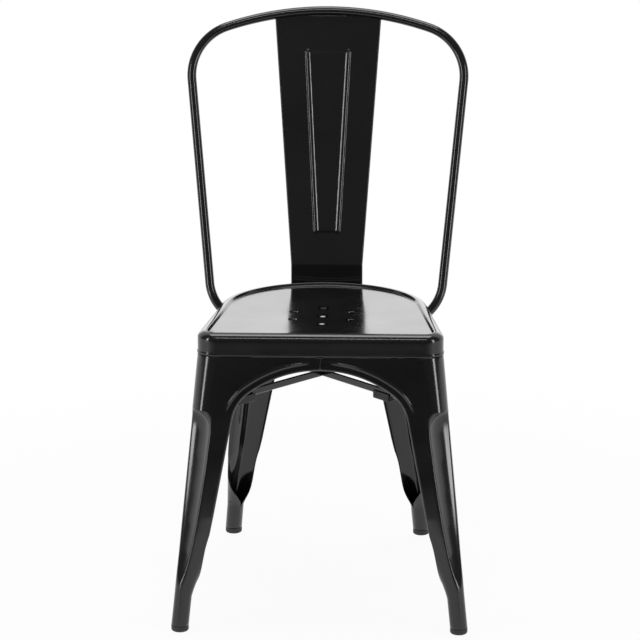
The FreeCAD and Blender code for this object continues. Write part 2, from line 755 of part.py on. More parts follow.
def make_hoop(inside_legs):
    """Half the bent tube, its mirror image, and feet that are cut to the legs."""
    splay = math.radians(size("hoop_splay"))
    radius = size("hoop_corner")
    crown = size("hoop_crown")
    rise = size("hoop_rise")
    bend = size("hoop_foot_bend")
    along = Vector(math.sin(splay), math.cos(splay), 0)
    normal = Vector(math.cos(splay), -math.sin(splay), 0)
    middle = Vector(0, rise - crown, 0)
    gap = normal * (normal.x * size("hoop_side") - radius) - middle
    shift = along.dot(gap)
    reach = -shift + math.sqrt(shift ** 2 - gap.dot(gap) + (crown - radius) ** 2)
    corner = middle + gap + along * reach
    joint = math.atan2(corner.y - middle.y, corner.x - middle.x)
    start = size("hoop_foot_start")
    bend_start = Vector(size("hoop_side") + math.tan(splay) * start, start, 0)
    foot = bend_start - normal * bend
    end_angle = -splay - math.radians(size("hoop_foot_turn"))
    bend_end = on_circle(foot, bend, end_angle)
    heading = Vector(math.sin(end_angle), -math.cos(end_angle), 0)

    body = new_body("hoop_body")
    path = new_sketch(body, "hoop_path", "XZ_Plane")
    path.addGeometry(
        [
            Part.ArcOfCircle(Part.Circle(middle, Z_AXIS, crown), joint, HALF_PI),
            Part.ArcOfCircle(Part.Circle(corner, Z_AXIS, radius), -splay, joint),
            Part.LineSegment(on_circle(corner, radius, -splay), bend_start),
            Part.ArcOfCircle(Part.Circle(foot, Z_AXIS, bend), end_angle, -splay),
            Part.LineSegment(bend_end, bend_end + heading * size("hoop_foot_run")),
        ],
        False,
    )
    for first, first_end, second, second_end in ((0, 1, 1, 2), (1, 1, 2, 1), (2, 2, 3, 2), (3, 1, 4, 1)):
        path.addConstraint(Sketcher.Constraint("Tangent", first, first_end, second, second_end))
    path.addConstraint(Sketcher.Constraint("PointOnObject", 0, 2, -2))
    path.addConstraint(Sketcher.Constraint("PointOnObject", 0, 3, -2))
    bind(path, Sketcher.Constraint("Radius", 0, crown), "Sizes.hoop_crown")
    bind(path, Sketcher.Constraint("Radius", 1, radius), "Sizes.hoop_corner")
    bind(path, Sketcher.Constraint("Radius", 3, bend), "Sizes.hoop_foot_bend")
    bind(path, Sketcher.Constraint("DistanceY", -1, 1, 0, 2, rise), "Sizes.hoop_rise")
    bind(path, Sketcher.Constraint("DistanceY", -1, 1, 2, 2, start), "Sizes.hoop_foot_start")
    bind(
        path,
        Sketcher.Constraint("DistanceX", -1, 1, 2, 2, bend_start.x),
        "Sizes.hoop_side + tan(Sizes.hoop_splay * 1 deg) * Sizes.hoop_foot_start",
    )
    bind(path, Sketcher.Constraint("Distance", 4, size("hoop_foot_run")), "Sizes.hoop_foot_run")
    doc.recompute()

    ring = new_sketch(body, "hoop_section", "YZ_Plane")
    for number, wall in enumerate(("0", "Sizes.hoop_wall")):
        ring.addGeometry(Part.Circle(Vector(0, rise, 0), Z_AXIS, 7.0 - 1.5 * number), False)
        ring.addConstraint(Sketcher.Constraint("PointOnObject", number, 3, -2))
        bind(ring, Sketcher.Constraint("DistanceY", -1, 1, number, 3, rise), "Sizes.hoop_rise")
        bind(ring, Sketcher.Constraint("Radius", number, 7.0 - 1.5 * number), "Sizes.hoop_tube / 2 - " + wall)
    pipe = body.newObject("PartDesign::AdditivePipe", "hoop_half")
    pipe.Profile = ring
    pipe.Spine = (path, ["Edge%d" % (i + 1) for i in range(5)])
    doc.recompute()
    both = body.newObject("PartDesign::Mirrored", "hoop_both")
    both.Originals = [pipe]
    both.MirrorPlane = (plane_of(body, "YZ_Plane"), [""])
    body.Tip = both
    body.Placement = hoop_plane()
    doc.recompute()

    hoop = doc.addObject("Part::Cut", "back_hoop")
    hoop.Base = body
    hoop.Tool = inside_legs
    hoop.Label = "back_hoop"
    doc.recompute()
    return hoop


def splat_strip(body, name, depth):
    """Side view of the splat: upright foot, bend and leaning blade, padded across."""
    lean = math.radians(size("splat_lean"))
    face_y = size("splat_face_y")
    bend_z = size("seat_height") + size("splat_bend_rise")
    up = Vector(math.sin(lean), math.cos(lean), 0)
    back = Vector(math.cos(lean), -math.sin(lean), 0)
    low = Vector(face_y, below_rim("splat_low_drop"), 0)
    knee = Vector(face_y, bend_z, 0)
    high = knee + up * size("splat_length")
    shift = depth * math.tan(lean / 2)
    inner_knee = Vector(face_y + depth, bend_z - shift, 0)
    corners = [low, knee, high, high + back * depth, inner_knee, low + Vector(depth, 0, 0)]
    sketch = new_sketch(body, name, "YZ_Plane")
    sketch.addGeometry([Part.LineSegment(a, b) for a, b in zip(corners, corners[1:] + corners[:1])], False)
    for edge in range(6):
        sketch.addConstraint(Sketcher.Constraint("Coincident", edge, 2, (edge + 1) % 6, 1))
    sketch.addConstraint(Sketcher.Constraint("Vertical", 0))
    sketch.addConstraint(Sketcher.Constraint("Parallel", 0, 4))
    sketch.addConstraint(Sketcher.Constraint("Parallel", 1, 3))
    sketch.addConstraint(Sketcher.Constraint("Perpendicular", 1, 2))
    sketch.addConstraint(Sketcher.Constraint("Perpendicular", 0, 5))
    bind(sketch, Sketcher.Constraint("DistanceX", -1, 1, 0, 1, low.x), "Sizes.splat_face_y")
    bind(sketch, Sketcher.Constraint("DistanceY", -1, 1, 0, 1, low.y), "Sizes.seat_height - Sizes.splat_low_drop")
    bind(sketch, Sketcher.Constraint("DistanceY", -1, 1, 1, 1, knee.y), "Sizes.seat_height + Sizes.splat_bend_rise")
    bind(sketch, Sketcher.Constraint("Distance", 1, size("splat_length")), "Sizes.splat_length")
    bind(sketch, Sketcher.Constraint("Angle", 1, HALF_PI - lean), "90 deg - Sizes.splat_lean * 1 deg")
    depth_name = "Sizes.splat_lip" if depth > GAUGE else "Sizes.gauge"
    bind(sketch, Sketcher.Constraint("Distance", 2, depth), depth_name)
    bind(sketch, Sketcher.Constraint("Distance", 5, depth), depth_name)
    doc.recompute()
    feature = body.newObject("PartDesign::Pad", name + "_pad")
    feature.Profile = sketch
    feature.setExpression("Length", "3 * Sizes.splat_top_half")
    feature.Midplane = True
    doc.recompute()
    return feature


def splat_front(name, inset, inset_text):
    """Front view of the splat, pushed through: tapered blade, narrow foot of constant width."""
    low = size("splat_low_half") - inset
    high = size("splat_top_half") - inset
    top = size("seat_height") + size("splat_bend_rise") + size("splat_length")
    right = [Vector(low, below_rim("splat_low_drop"), 0), Vector(low, size("seat_height") + size("splat_bend_rise"), 0), Vector(high, top, 0)]
    corners = right + [Vector(-p.x, p.y, 0) for p in reversed(right)]
    body = new_body(name)
    sketch = new_sketch(body, name + "_sketch", "XZ_Plane")
    sketch.addGeometry([Part.LineSegment(a, b) for a, b in zip(corners, corners[1:] + corners[:1])], False)
    for edge in range(6):
        sketch.addConstraint(Sketcher.Constraint("Coincident", edge, 2, (edge + 1) % 6, 1))
    for edge, other in ((0, 5), (1, 4), (2, 3)):
        sketch.addConstraint(Sketcher.Constraint("Symmetric", edge, 1, other, 1, -2))
    sketch.addConstraint(Sketcher.Constraint("Vertical", 0))
    bind(sketch, Sketcher.Constraint("DistanceX", -1, 1, 0, 1, low), "Sizes.splat_low_half - " + inset_text)
    bind(sketch, Sketcher.Constraint("DistanceX", -1, 1, 2, 1, high), "Sizes.splat_top_half - " + inset_text)
    bind(sketch, Sketcher.Constraint("DistanceY", -1, 1, 0, 1, corners[0].y), "Sizes.seat_height - Sizes.splat_low_drop")
    bind(sketch, Sketcher.Constraint("DistanceY", -1, 1, 1, 1, corners[1].y), "Sizes.seat_height + Sizes.splat_bend_rise")
    bind(sketch, Sketcher.Constraint("DistanceY", 1, 1, 2, 1, top - corners[1].y), "Sizes.splat_length")
    doc.recompute()
    feature = body.newObject("PartDesign::Pad", name + "_pad")
    feature.Profile = sketch
    feature.setExpression("Length", "4 * Sizes.splat_face_y")
    feature.Midplane = True
    doc.recompute()
    return body


def splat_rib(side):
    """A pressed rib: a low round bar whose ends are rounded."""
    lean = Rotation(X_AXIS, -size("splat_lean"))
    width = size("rib_width")
    rise = size("rib_height")
    radius = (width ** 2 / 4 + rise ** 2) / (2 * rise)
    sunk = radius - rise
    low = Vector(side * size("rib_low_half"), sunk, size("rib_low"))
    high = Vector(side * size("rib_high_half"), sunk, size("rib_high"))
    bar = Part.makeCylinder(radius, (high - low).Length, low, high - low)
    bar = bar.fuse([Part.makeSphere(radius, low), Part.makeSphere(radius, high)])
    proud = Part.makeBox(BIG, BIG, BIG, Vector(-BIG / 2, GAUGE / 2 - BIG, -BIG / 2))
    rib = bar.common(proud)
    rib.Placement = Placement(Vector(0, size("splat_face_y"), size("seat_height") + size("splat_bend_rise")), lean)
    return rib


def joined(kind, name, parts):
    """A Part boolean of document objects."""
    feature = doc.addObject(kind, name)
    if kind == "Part::Cut":
        feature.Base, feature.Tool = parts
    else:
        feature.Shapes = parts
    doc.recompute()
    return feature


def make_splat():
    """A blade with turned back edges, two ribs and a foot that stands behind the skirt."""
    blade = new_body("splat_blade")
    splat_strip(blade, "blade_side", GAUGE)
    deep = new_body("splat_edges")
    splat_strip(deep, "edge_side", size("splat_lip"))
    front = splat_front("splat_front", 0.0, "0")
    inner = splat_front("splat_inner", GAUGE, "Sizes.gauge")
    border = joined("Part::Cut", "splat_border", (deep, inner))
    edges = joined("Part::MultiCommon", "splat_turned", [border, front])
    face = joined("Part::MultiCommon", "splat_face", [blade, front])
    ribs = [add_shape("splat_rib_%d" % number, splat_rib(side)) for number, side in ((1, 1), (2, -1))]
    whole = joined("Part::MultiFuse", "splat_whole", [face, edges] + ribs)
    plane = hoop_plane()
    centre = plane.multVec(Vector(0, 0, size("hoop_rise") - size("hoop_crown")))
    across = plane.Rotation.multVec(Y_AXIS)
    crown = Part.makeTorus(size("hoop_crown"), size("hoop_tube") / 2, centre, across)
    above = Part.makeBox(BIG, BIG, BIG, Vector(-BIG / 2, 0, size("seat_height") + size("splat_trim_rise")))
    tube = add_shape("splat_trim", crown.fuse(above))
    splat = joined("Part::Cut", "back_splat", (whole, tube))
    splat.Label = "back_splat"
    return splat


# Brace and stacking bumpers under the seat


def make_brace(inside):
    """Two channels that cross. One runs through, the other is butted to it in halves."""
    half = size("brace_width") / 2
    height = size("brace_height")
    section = [
        Vector(-half, 0, 0),
        Vector(-half, height, 0),
        Vector(half, height, 0),
        Vector(half, 0, 0),
        Vector(half - GAUGE, 0, 0),
        Vector(half - GAUGE, height - GAUGE, 0),
        Vector(-half + GAUGE, height - GAUGE, 0),
        Vector(-half + GAUGE, 0, 0),
    ]
    centre = Vector(0, size("brace_centre_y"), below_rim("brace_drop"))
    angle = size("brace_angle")
    runs = [
        ("brace_bar", 180 - angle, True),
        ("brace_half_front", 180 + angle, False),
        ("brace_half_rear", angle, False),
    ]
    for name, heading, through in runs:
        body = new_body(name + "_channel")
        sketch = new_sketch(body, name + "_section", "XZ_Plane")
        edges = [Part.LineSegment(a, b) for a, b in zip(section, section[1:] + section[:1])]
        sketch.addGeometry(edges, False)
        for edge in range(8):
            sketch.addConstraint(Sketcher.Constraint("Coincident", edge, 2, (edge + 1) % 8, 1))
        for edge in (1, 3, 5, 7):
            sketch.addConstraint(Sketcher.Constraint("Horizontal", edge))
        for edge in (0, 2, 4, 6):
            sketch.addConstraint(Sketcher.Constraint("Vertical", edge))
        sketch.addConstraint(Sketcher.Constraint("Symmetric", 0, 1, 2, 2, -2))
        sketch.addConstraint(Sketcher.Constraint("Equal", 3, 7))
        sketch.addConstraint(Sketcher.Constraint("PointOnObject", 0, 1, -1))
        bind(sketch, Sketcher.Constraint("DistanceX", 1, 1, 1, 2, 2 * half), "Sizes.brace_width")
        bind(sketch, Sketcher.Constraint("DistanceY", 0, 1, 0, 2, height), "Sizes.brace_height")
        bind(sketch, Sketcher.Constraint("DistanceX", 3, 2, 3, 1, GAUGE), "Sizes.gauge")
        bind(sketch, Sketcher.Constraint("DistanceY", 4, 2, 2, 1, GAUGE), "Sizes.gauge")
        doc.recompute()
        run = body.newObject("PartDesign::Pad", name + "_pad")
        run.Profile = sketch
        run.setExpression("Length", "2 * Sizes.front_foot_half")
        run.Midplane = through
        run.Reversed = not through
        doc.recompute()
        turn = Rotation(Z_AXIS, heading - 90)
        start = 0.0 if through else half + GAP
        body.Placement = Placement(centre + turn.multVec(Y_AXIS * start), turn)
        piece = joined("Part::MultiCommon", name, [body, inside])
        piece.Label = name


def rectangle_sketch(body, name, length, width, length_text, width_text, lift):
    """A rectangle about the origin, long in Y."""
    x = width / 2
    y = length / 2
    corners = [Vector(-x, -y, 0), Vector(x, -y, 0), Vector(x, y, 0), Vector(-x, y, 0)]
    sketch = new_sketch(body, name, "XY_Plane", lift)
    sketch.addGeometry([Part.LineSegment(a, b) for a, b in zip(corners, corners[1:] + corners[:1])], False)
    for edge in range(4):
        sketch.addConstraint(Sketcher.Constraint("Coincident", edge, 2, (edge + 1) % 4, 1))
    for edge in (0, 2):
        sketch.addConstraint(Sketcher.Constraint("Horizontal", edge))
    for edge in (1, 3):
        sketch.addConstraint(Sketcher.Constraint("Vertical", edge))
    sketch.addConstraint(Sketcher.Constraint("Symmetric", 0, 1, 2, 1, -1, 1))
    bind(sketch, Sketcher.Constraint("DistanceX", 0, 1, 0, 2, width), width_text)
    bind(sketch, Sketcher.Constraint("DistanceY", 1, 1, 1, 2, length), length_text)
    doc.recompute()
    return sketch


def make_bumpers():
    """A plastic shoe under each arm of the brace, with a groove that takes the channel."""
    length = size("bumper_length")
    width = size("bumper_width")
    angle = size("brace_angle")
    places = [
        ("bumper_front_left", 180 + angle, "brace_half_front", "front_bumper_back"),
        ("bumper_front_right", -angle, "brace_bar", "front_bumper_back"),
        ("bumper_rear_right", angle, "brace_half_rear", "rear_bumper_back"),
        ("bumper_rear_left", 180 - angle, "brace_bar", "rear_bumper_back"),
    ]
    for name, heading, carrier, back in places:
        body = new_body(name)
        plan = rectangle_sketch(
            body, name + "_plan", length, width, "Sizes.bumper_length", "Sizes.bumper_width", "-Sizes.bumper_drop"
        )
        block = pad(body, plan, "Sizes.bumper_drop + Sizes.bumper_grip")

        def outer_edge(edge):
            level = level_edge(-size("bumper_drop"))(edge)
            upright = edge.BoundBox.ZLength > size("bumper_drop")
            return level or upright

        fillet(body, block, "Sizes.bumper_round", outer_edge)
        slot = rectangle_sketch(
            body,
            name + "_slot",
            2 * length,
            size("brace_width") + 2 * GAP,
            "2 * Sizes.bumper_length",
            "Sizes.brace_width + 2 * Sizes.seam_gap",
            "-Sizes.seam_gap",
        )
        pocket(body, slot, "2 * Sizes.bumper_grip", reverse=True)
        turn = Rotation(Z_AXIS, heading - 90)
        centre = Vector(0, size("brace_centre_y"), below_rim("brace_drop"))
        along = turn.multVec(Y_AXIS)
        corners = doc.getObject(carrier).Shape.Vertexes
        reach = max((corner.Point - centre).dot(along) for corner in corners) - size(back)
        body.Placement = Placement(centre + along * reach, turn)
        body.Label = name


# Foot caps


def make_caps():
    """A cap that stands flat on the floor. Its plug narrows upwards to clear the leaning tube."""
    bore = "Sizes.foot_dia / 2 - Sizes.gauge - Sizes.seam_gap"
    front_low = Vector(size("front_foot_half"), size("front_foot_y"), 0)
    front_high = SEAT.multVec(Vector(PLAN.corner.x + PLAN.corner_radius, PLAN.front_y, SKIRT_FOOT))
    rear_low = on_circle(REAR_FOOT, FOOT_RADIUS, HALF_PI / 2)
    shoulder = on_circle(PLAN.back, PLAN.back_radius, sum(REAR_SPLITS) / 2)
    rear_lean = lean_between(rear_low, SEAT.multVec(shoulder + Z_AXIS * SKIRT_FOOT))
    ends = [("front", FRONT_FOOT, lean_between(front_low, front_high)), ("rear", REAR_FOOT, rear_lean)]
    for end, foot, lean in ends:
        for side, sign in (("right", 1), ("left", -1)):
            name = "foot_cap_%s_%s" % (end, side)
            body = new_body(name)
            shoe = circle_sketch(body, name + "_shoe", "XY_Plane", [0.0, 0.0], "Sizes.foot_dia / 2")
            block = pad(body, shoe, "Sizes.cap_height")
            fillet(body, block, "Sizes.cap_round", level_edge(0.0))
            neck = circle_sketch(body, name + "_neck", "XY_Plane", [0.0, 0.0], bore, "Sizes.cap_height")
            plug = pad(body, neck, "Sizes.cap_plug")
            plug.TaperAngle = -math.degrees(math.atan(math.hypot(lean.x, lean.y)))
            doc.recompute()
            stand = foot + lean * size("cap_height")
            body.Placement = Placement(Vector(sign * stand.x, stand.y, 0), Rotation())
            body.Label = name


LEG_SPACE = add_shape("space_inside_legs", leg_spaces(GAUGE + GAP))
LEG_BULK = add_shape("bulk_of_legs", leg_spaces(0.0))
make_seat_pan()
make_legs()
make_hoop(LEG_BULK)
make_splat()
make_brace(LEG_SPACE)
make_bumpers()
make_caps()
doc.recompute()

NODES = [
    "seat_pan",
    "front_left_leg",
    "front_right_leg",
    "rear_left_leg",
    "rear_right_leg",
    "back_hoop",
    "back_splat",
    "brace_bar",
    "brace_half_front",
    "brace_half_rear",
    "bumper_front_left",
    "bumper_front_right",
    "bumper_rear_left",
    "bumper_rear_right",
    "foot_cap_front_left",
    "foot_cap_front_right",
    "foot_cap_rear_left",
    "foot_cap_rear_right",
]

for thing in doc.Objects:
    if "Invalid" in thing.State or "Error" in thing.State:
        raise RuntimeError("%s did not recompute" % thing.Name)

os.makedirs("parts", exist_ok=True)
for name in NODES:
    shape = doc.getObject(name).Shape
    if shape.isNull() or not shape.isValid():
        raise RuntimeError("%s is not a valid shape" % name)
    shape.exportStep("parts/%s.step" % name)
    print(name, "solids", len(shape.Solids), "volume", round(shape.Volume / 1000, 1), "cm3")
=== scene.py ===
# %% [markdown]
# # A stacking chair pressed from sheet steel
# The chair is a handful of pressings and one bent tube, welded together and sprayed in gloss black.
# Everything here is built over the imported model, in metres, with X to the right, Y to the back and Z up.
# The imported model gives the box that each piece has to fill, and the pieces only make its forms finer.

# %% Load the frame
import math

import bmesh
import bpy
import numpy as np
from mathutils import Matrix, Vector
from mathutils.geometry import delaunay_2d_cdt


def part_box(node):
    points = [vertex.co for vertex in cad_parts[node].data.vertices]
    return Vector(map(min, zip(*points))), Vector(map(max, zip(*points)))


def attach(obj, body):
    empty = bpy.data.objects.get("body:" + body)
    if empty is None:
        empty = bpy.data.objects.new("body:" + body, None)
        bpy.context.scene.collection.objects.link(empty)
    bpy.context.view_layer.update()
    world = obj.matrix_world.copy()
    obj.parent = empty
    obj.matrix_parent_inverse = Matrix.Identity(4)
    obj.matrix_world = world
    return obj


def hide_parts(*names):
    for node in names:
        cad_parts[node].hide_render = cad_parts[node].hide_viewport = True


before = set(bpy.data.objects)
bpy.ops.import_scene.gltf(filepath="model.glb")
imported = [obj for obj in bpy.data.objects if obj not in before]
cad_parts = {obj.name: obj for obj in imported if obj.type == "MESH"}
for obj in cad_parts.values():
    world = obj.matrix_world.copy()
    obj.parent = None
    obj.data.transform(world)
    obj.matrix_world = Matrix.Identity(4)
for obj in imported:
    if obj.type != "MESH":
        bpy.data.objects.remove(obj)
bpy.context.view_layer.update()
print("nodes:", len(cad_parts))

# %% Units, and the box of each node
MM = 0.001
BODY = "root"


def node_box(node):
    """Lowest and highest corner of a node, in millimetres."""
    low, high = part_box(node)
    return np.array(low) / MM, np.array(high) / MM


pan_low, pan_high = node_box("seat_pan")
print("seat pan:", pan_low.round(1), pan_high.round(1))

# %% [markdown]
# ## The finish
# Powder coat is a thin plastic skin over steel. It is very dark, it shines, and close up it has the
# faint ripple of orange peel. The ripple is a bump map from two noises, one a few millimetres wide and
# one a few centimetres wide. A third noise moves the roughness a little, as handling does.

# %% A small kit for node materials
def new_material(name, **values):
    """A material with one Principled shader. Its plain values are set on the shader's own sockets."""
    material = bpy.data.materials.new(name)
    material.use_nodes = True
    nodes = material.node_tree.nodes
    shader = nodes["Principled BSDF"]
    for socket, value in values.items():
        shader.inputs[socket.replace("_", " ")].default_value = value
    place = nodes.new("ShaderNodeTexCoord")
    return material, nodes, material.node_tree.links, shader, place


def noise(nodes, links, place, scale, detail=2.0):
    texture = nodes.new("ShaderNodeTexNoise")
    texture.inputs["Scale"].default_value = scale
    texture.inputs["Detail"].default_value = detail
    links.new(place.outputs["Object"], texture.inputs["Vector"])
    return texture.outputs["Fac"]


def spread(nodes, links, value, low, high, start=0.3, end=0.7, smooth=False):
    """Map a value from start..end to low..high. The ready start and end suit a noise."""
    ramp = nodes.new("ShaderNodeMapRange")
    ramp.interpolation_type = "SMOOTHSTEP" if smooth else "LINEAR"
    for socket, number in zip(("From Min", "From Max", "To Min", "To Max"), (start, end, low, high)):
        ramp.inputs[socket].default_value = number
    links.new(value, ramp.inputs["Value"])
    return ramp.outputs["Result"]


def bump(nodes, links, height, distance, strength, below=None):
    node = nodes.new("ShaderNodeBump")
    node.inputs["Distance"].default_value = distance
    node.inputs["Strength"].default_value = strength
    links.new(height, node.inputs["Height"])
    if below is not None:
        links.new(below, node.inputs["Normal"])
    return node.outputs["Normal"]


def tint(nodes, links, value, dark, light):
    mix = nodes.new("ShaderNodeMix")
    mix.data_type = "RGBA"
    mix.inputs["A"].default_value = (*dark, 1.0)
    mix.inputs["B"].default_value = (*light, 1.0)
    links.new(value, mix.inputs["Factor"])
    return mix.outputs["Result"]

print("node kit ready, finishes follow")

# %% Gloss black powder coat
def coating(name, tones, cloud, wear, roughness, ripples, **values):
    """Tone and roughness drift with a noise each, and every ripple is a bump on the one before."""
    material, nodes, links, shader, place = new_material(name, **values)
    drift = spread(nodes, links, noise(nodes, links, place, *cloud), 0.0, 1.0)
    links.new(tint(nodes, links, drift, *tones), shader.inputs["Base Color"])
    worn = spread(nodes, links, noise(nodes, links, place, *wear), *roughness)
    links.new(worn, shader.inputs["Roughness"])
    normal = None
    for scale, depth, strength in ripples:
        normal = bump(nodes, links, noise(nodes, links, place, scale), depth, strength, normal)
    links.new(normal, shader.inputs["Normal"])
    return material


PEEL = 0.1
enamel = coating(
    "black_powder_coat",
    tones=((0.0052, 0.0050, 0.0050), (0.0085, 0.0080, 0.0078)),
    cloud=(9.0, 4.0),
    wear=(14.0, 5.0),
    roughness=(0.11, 0.19),
    ripples=((35.0, 0.0005, PEEL), (420.0, 0.00006, PEEL)),
    IOR=1.52,
    Coat_Weight=0.08,
    Coat_Roughness=0.06,
    Coat_IOR=1.5,
)
print("finish:", enamel.name)

# %% [markdown]
# Foot caps and stacking bumpers are moulded rubber: the same black, but dull, with the fine grain that a
# blasted mould leaves.

# %% Satin rubber
rubber = coating(
    "moulded_rubber",
    tones=((0.011, 0.011, 0.011), (0.019, 0.018, 0.018)),
    cloud=(40.0, 3.0),
    wear=(60.0, 3.0),
    roughness=(0.45, 0.6),
    ripples=((1500.0, 0.00005, 0.5),),
    IOR=1.5,
)
print("finish:", rubber.name)

# %% [markdown]
# ## From rows of points to a sheet
# Each pressing is laid out as rows of points, so that its edges, beads and bends follow the rows. One
# helper turns the rows into quads, and a Solidify modifier gives the sheet its 1.2 mm.

# %% Helpers for meshes
GAUGE = 1.2


def mesh_piece(name, points, faces, material):
    mesh = bpy.data.meshes.new(name)
    mesh.from_pydata([tuple(point) for point in np.asarray(points) * MM], [], faces)
    mesh.polygons.foreach_set("use_smooth", [True] * len(mesh.polygons))
    mesh.materials.append(material)
    mesh.update()
    piece = bpy.data.objects.new(name, mesh)
    bpy.context.scene.collection.objects.link(piece)
    return piece


def grid_faces(rows, columns, start=0, flip=False, closed=False):
    """Quads of a grid of points. A closed grid joins its last column to its first."""
    faces = []
    for row in range(rows - 1):
        for column in range(columns if closed else columns - 1):
            following = (column + 1) % columns
            quad = (
                start + row * columns + column,
                start + row * columns + following,
                start + (row + 1) * columns + following,
                start + (row + 1) * columns + column,
            )
            faces.append(quad[::-1] if flip else quad)
    return faces


def thicken(piece, gauge=GAUGE):
    """Give a sheet its thickness on the inside."""
    solid = piece.modifiers.new("gauge", "SOLIDIFY")
    solid.thickness = gauge * MM
    solid.offset = -1.0
    solid.use_even_offset = False
    return piece


def finish_piece(piece, slot, *nodes):
    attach(piece, BODY)
    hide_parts(*nodes)
    print(piece.name, "stands for", ", ".join(nodes), "with", len(piece.data.polygons), "faces")


def smoothstep(low, high, value):
    share = np.clip((np.asarray(value, dtype=float) - low) / (high - low), 0.0, 1.0)
    return share * share * (3.0 - 2.0 * share)

print("sheet gauge:", GAUGE, "mm")

# %% [markdown]
# ## Where the seat lies
# The seat falls 2.5 degrees to the back, so water runs off. All of its forms are drawn flat and then
# turned about the front edge.

# %% The seat's plan
SEAT_FRONT_Y = -197.0
SEAT_REAR_Y = 154.0
SEAT_FRONT_HALF = 184.5
SEAT_CORNER = 29.0
SEAT_HEIGHT = 446.0
SEAT_TILT = math.radians(2.5)
TAPER = math.radians(7.4)
SKIRT_DEPTH = 33.0
SEAM = 0.2


def on_seat(points):
    """Turn points of the flat drawing to the seat's slope."""
    points = np.asarray(points, dtype=float)
    out = points.copy()
    run = points[..., 1] - SEAT_FRONT_Y
    out[..., 1] = SEAT_FRONT_Y + run * math.cos(SEAT_TILT) + points[..., 2] * math.sin(SEAT_TILT)
    out[..., 2] = SEAT_HEIGHT - run * math.sin(SEAT_TILT) + points[..., 2] * math.cos(SEAT_TILT)
    return out


def round_part(centre, radius, start, end, count):
    angles = np.linspace(start, end, count)
    return np.stack([centre[0] + radius * np.cos(angles), centre[1] + radius * np.sin(angles)], axis=1)


def straight(start, end, count):
    return np.linspace(start, end, count)


class SeatPlan:
    """Half of the seat's plan: straight front, corner, tapered side and one long arc at the back."""

    def __init__(self, inset=0.0):
        cosine, sine = math.cos(TAPER), math.sin(TAPER)
        reach = cosine * SEAT_FRONT_HALF + sine * SEAT_FRONT_Y
        corner_y = SEAT_FRONT_Y + SEAT_CORNER
        back = (reach - SEAT_REAR_Y * sine) / (1 - sine)
        self.reach = reach - inset
        self.front_y = SEAT_FRONT_Y + inset
        self.corner = np.array([(reach - SEAT_CORNER - sine * corner_y) / cosine, corner_y])
        self.corner_radius = SEAT_CORNER - inset
        self.back = np.array([0.0, SEAT_REAR_Y - back])
        self.back_radius = back - inset

    def side(self, y):
        return np.array([(self.reach - math.sin(TAPER) * y) / math.cos(TAPER), y])

    def half(self):
        """The right half, from the middle of the front to the middle of the back."""
        runs = [
            straight((0.0, self.front_y), (self.corner[0], self.front_y), 24),
            round_part(self.corner, self.corner_radius, -math.pi / 2, TAPER, 22),
        ]
        touch = round_part(self.back, self.back_radius, TAPER, TAPER, 1)[0]
        runs.append(straight(runs[1][-1], touch, 30))
        runs.append(round_part(self.back, self.back_radius, TAPER, math.pi / 2, 70))
        return np.concatenate([runs[0]] + [run[1:] for run in runs[1:]])

    def whole(self):
        right = self.half()
        left = right[-2:0:-1] * (-1.0, 1.0)
        return np.concatenate([right, left])


print("seat plan points:", len(SeatPlan().whole()))

# %% [markdown]
# ## The seat pan
# A press draws the seat from one sheet: a flat panel, a step up to a soft rim, a skirt and a small hem.
# That is one profile carried round the plan, so the pan is a closed grid of profile rows.
# The rows are close together where the sheet bends and far apart where it is flat.

# %% The profile of the rim and skirt
RIM_WIDTH = 16.0
RIM_RADIUS = 13.0
RIM_FALL = 10.5
RIM_INNER_RADIUS = 1.8
STEP_RADIUS = 1.2
PANEL_EDGE = RIM_WIDTH + 6.0
PANEL_DROP = 3.8
PANEL_STEP = 7.0
DISH_DEPTH = 2.8
DISH_X = 78.0
DISH_Y = 120.0
DISH_PLACE = -20.0
HEM_HEIGHT = 3.2
HEM_PROUD = 0.9
SKIRT_ROWS = (-14.0, -20.0)


def rounded(inset, top, wide, high, degrees):
    """Points of a bend that leaves (inset, top) level and is so wide and so high."""
    turns = np.radians(degrees)
    return list(zip(inset - wide * np.sin(turns), top - high * (1 - np.cos(turns))))


def pan_profile():
    """(inset, height) pairs, from the panel over the rim to the hem and back up inside."""
    step = RIM_WIDTH + STEP_RADIUS
    inner = RIM_WIDTH - RIM_INNER_RADIUS - STEP_RADIUS
    hem = HEM_HEIGHT - SKIRT_DEPTH
    profile = [(inset, -PANEL_DROP) for inset in (PANEL_EDGE, RIM_WIDTH + 3.0, step)]
    profile += rounded(step, -PANEL_DROP, STEP_RADIUS, -STEP_RADIUS, np.linspace(0, 70, 6)[1:])
    profile += rounded(inner, 0.0, -RIM_INNER_RADIUS, RIM_INNER_RADIUS, np.linspace(68, 0, 9))
    profile += rounded(RIM_RADIUS, 0.0, RIM_RADIUS, RIM_FALL, np.linspace(0, 90, 15))
    profile += [(0.0, level) for level in (*SKIRT_ROWS, hem + 1.6)]
    profile += [(-0.08, hem + 1.0), (0.2 - HEM_PROUD, hem + 0.2), (-HEM_PROUD, hem - 0.5)]
    profile += [(-HEM_PROUD, 0.9 - SKIRT_DEPTH), (0.25 - HEM_PROUD, 0.25 - SKIRT_DEPTH)]
    profile += [(0.8 - HEM_PROUD, -SKIRT_DEPTH), (GAUGE, -SKIRT_DEPTH)]
    profile += [(GAUGE + 0.1, 0.3 - SKIRT_DEPTH), (GAUGE, SKIRT_ROWS[0])]
    profile += rounded(RIM_RADIUS, -GAUGE, RIM_RADIUS - GAUGE, RIM_FALL - GAUGE, np.linspace(90, 0, 8))
    profile += [(RIM_WIDTH - 2.5, -GAUGE)]
    return profile + [(inset, -PANEL_DROP - GAUGE) for inset in (RIM_WIDTH + 1.0, PANEL_EDGE)]


print("profile rows:", len(pan_profile()))

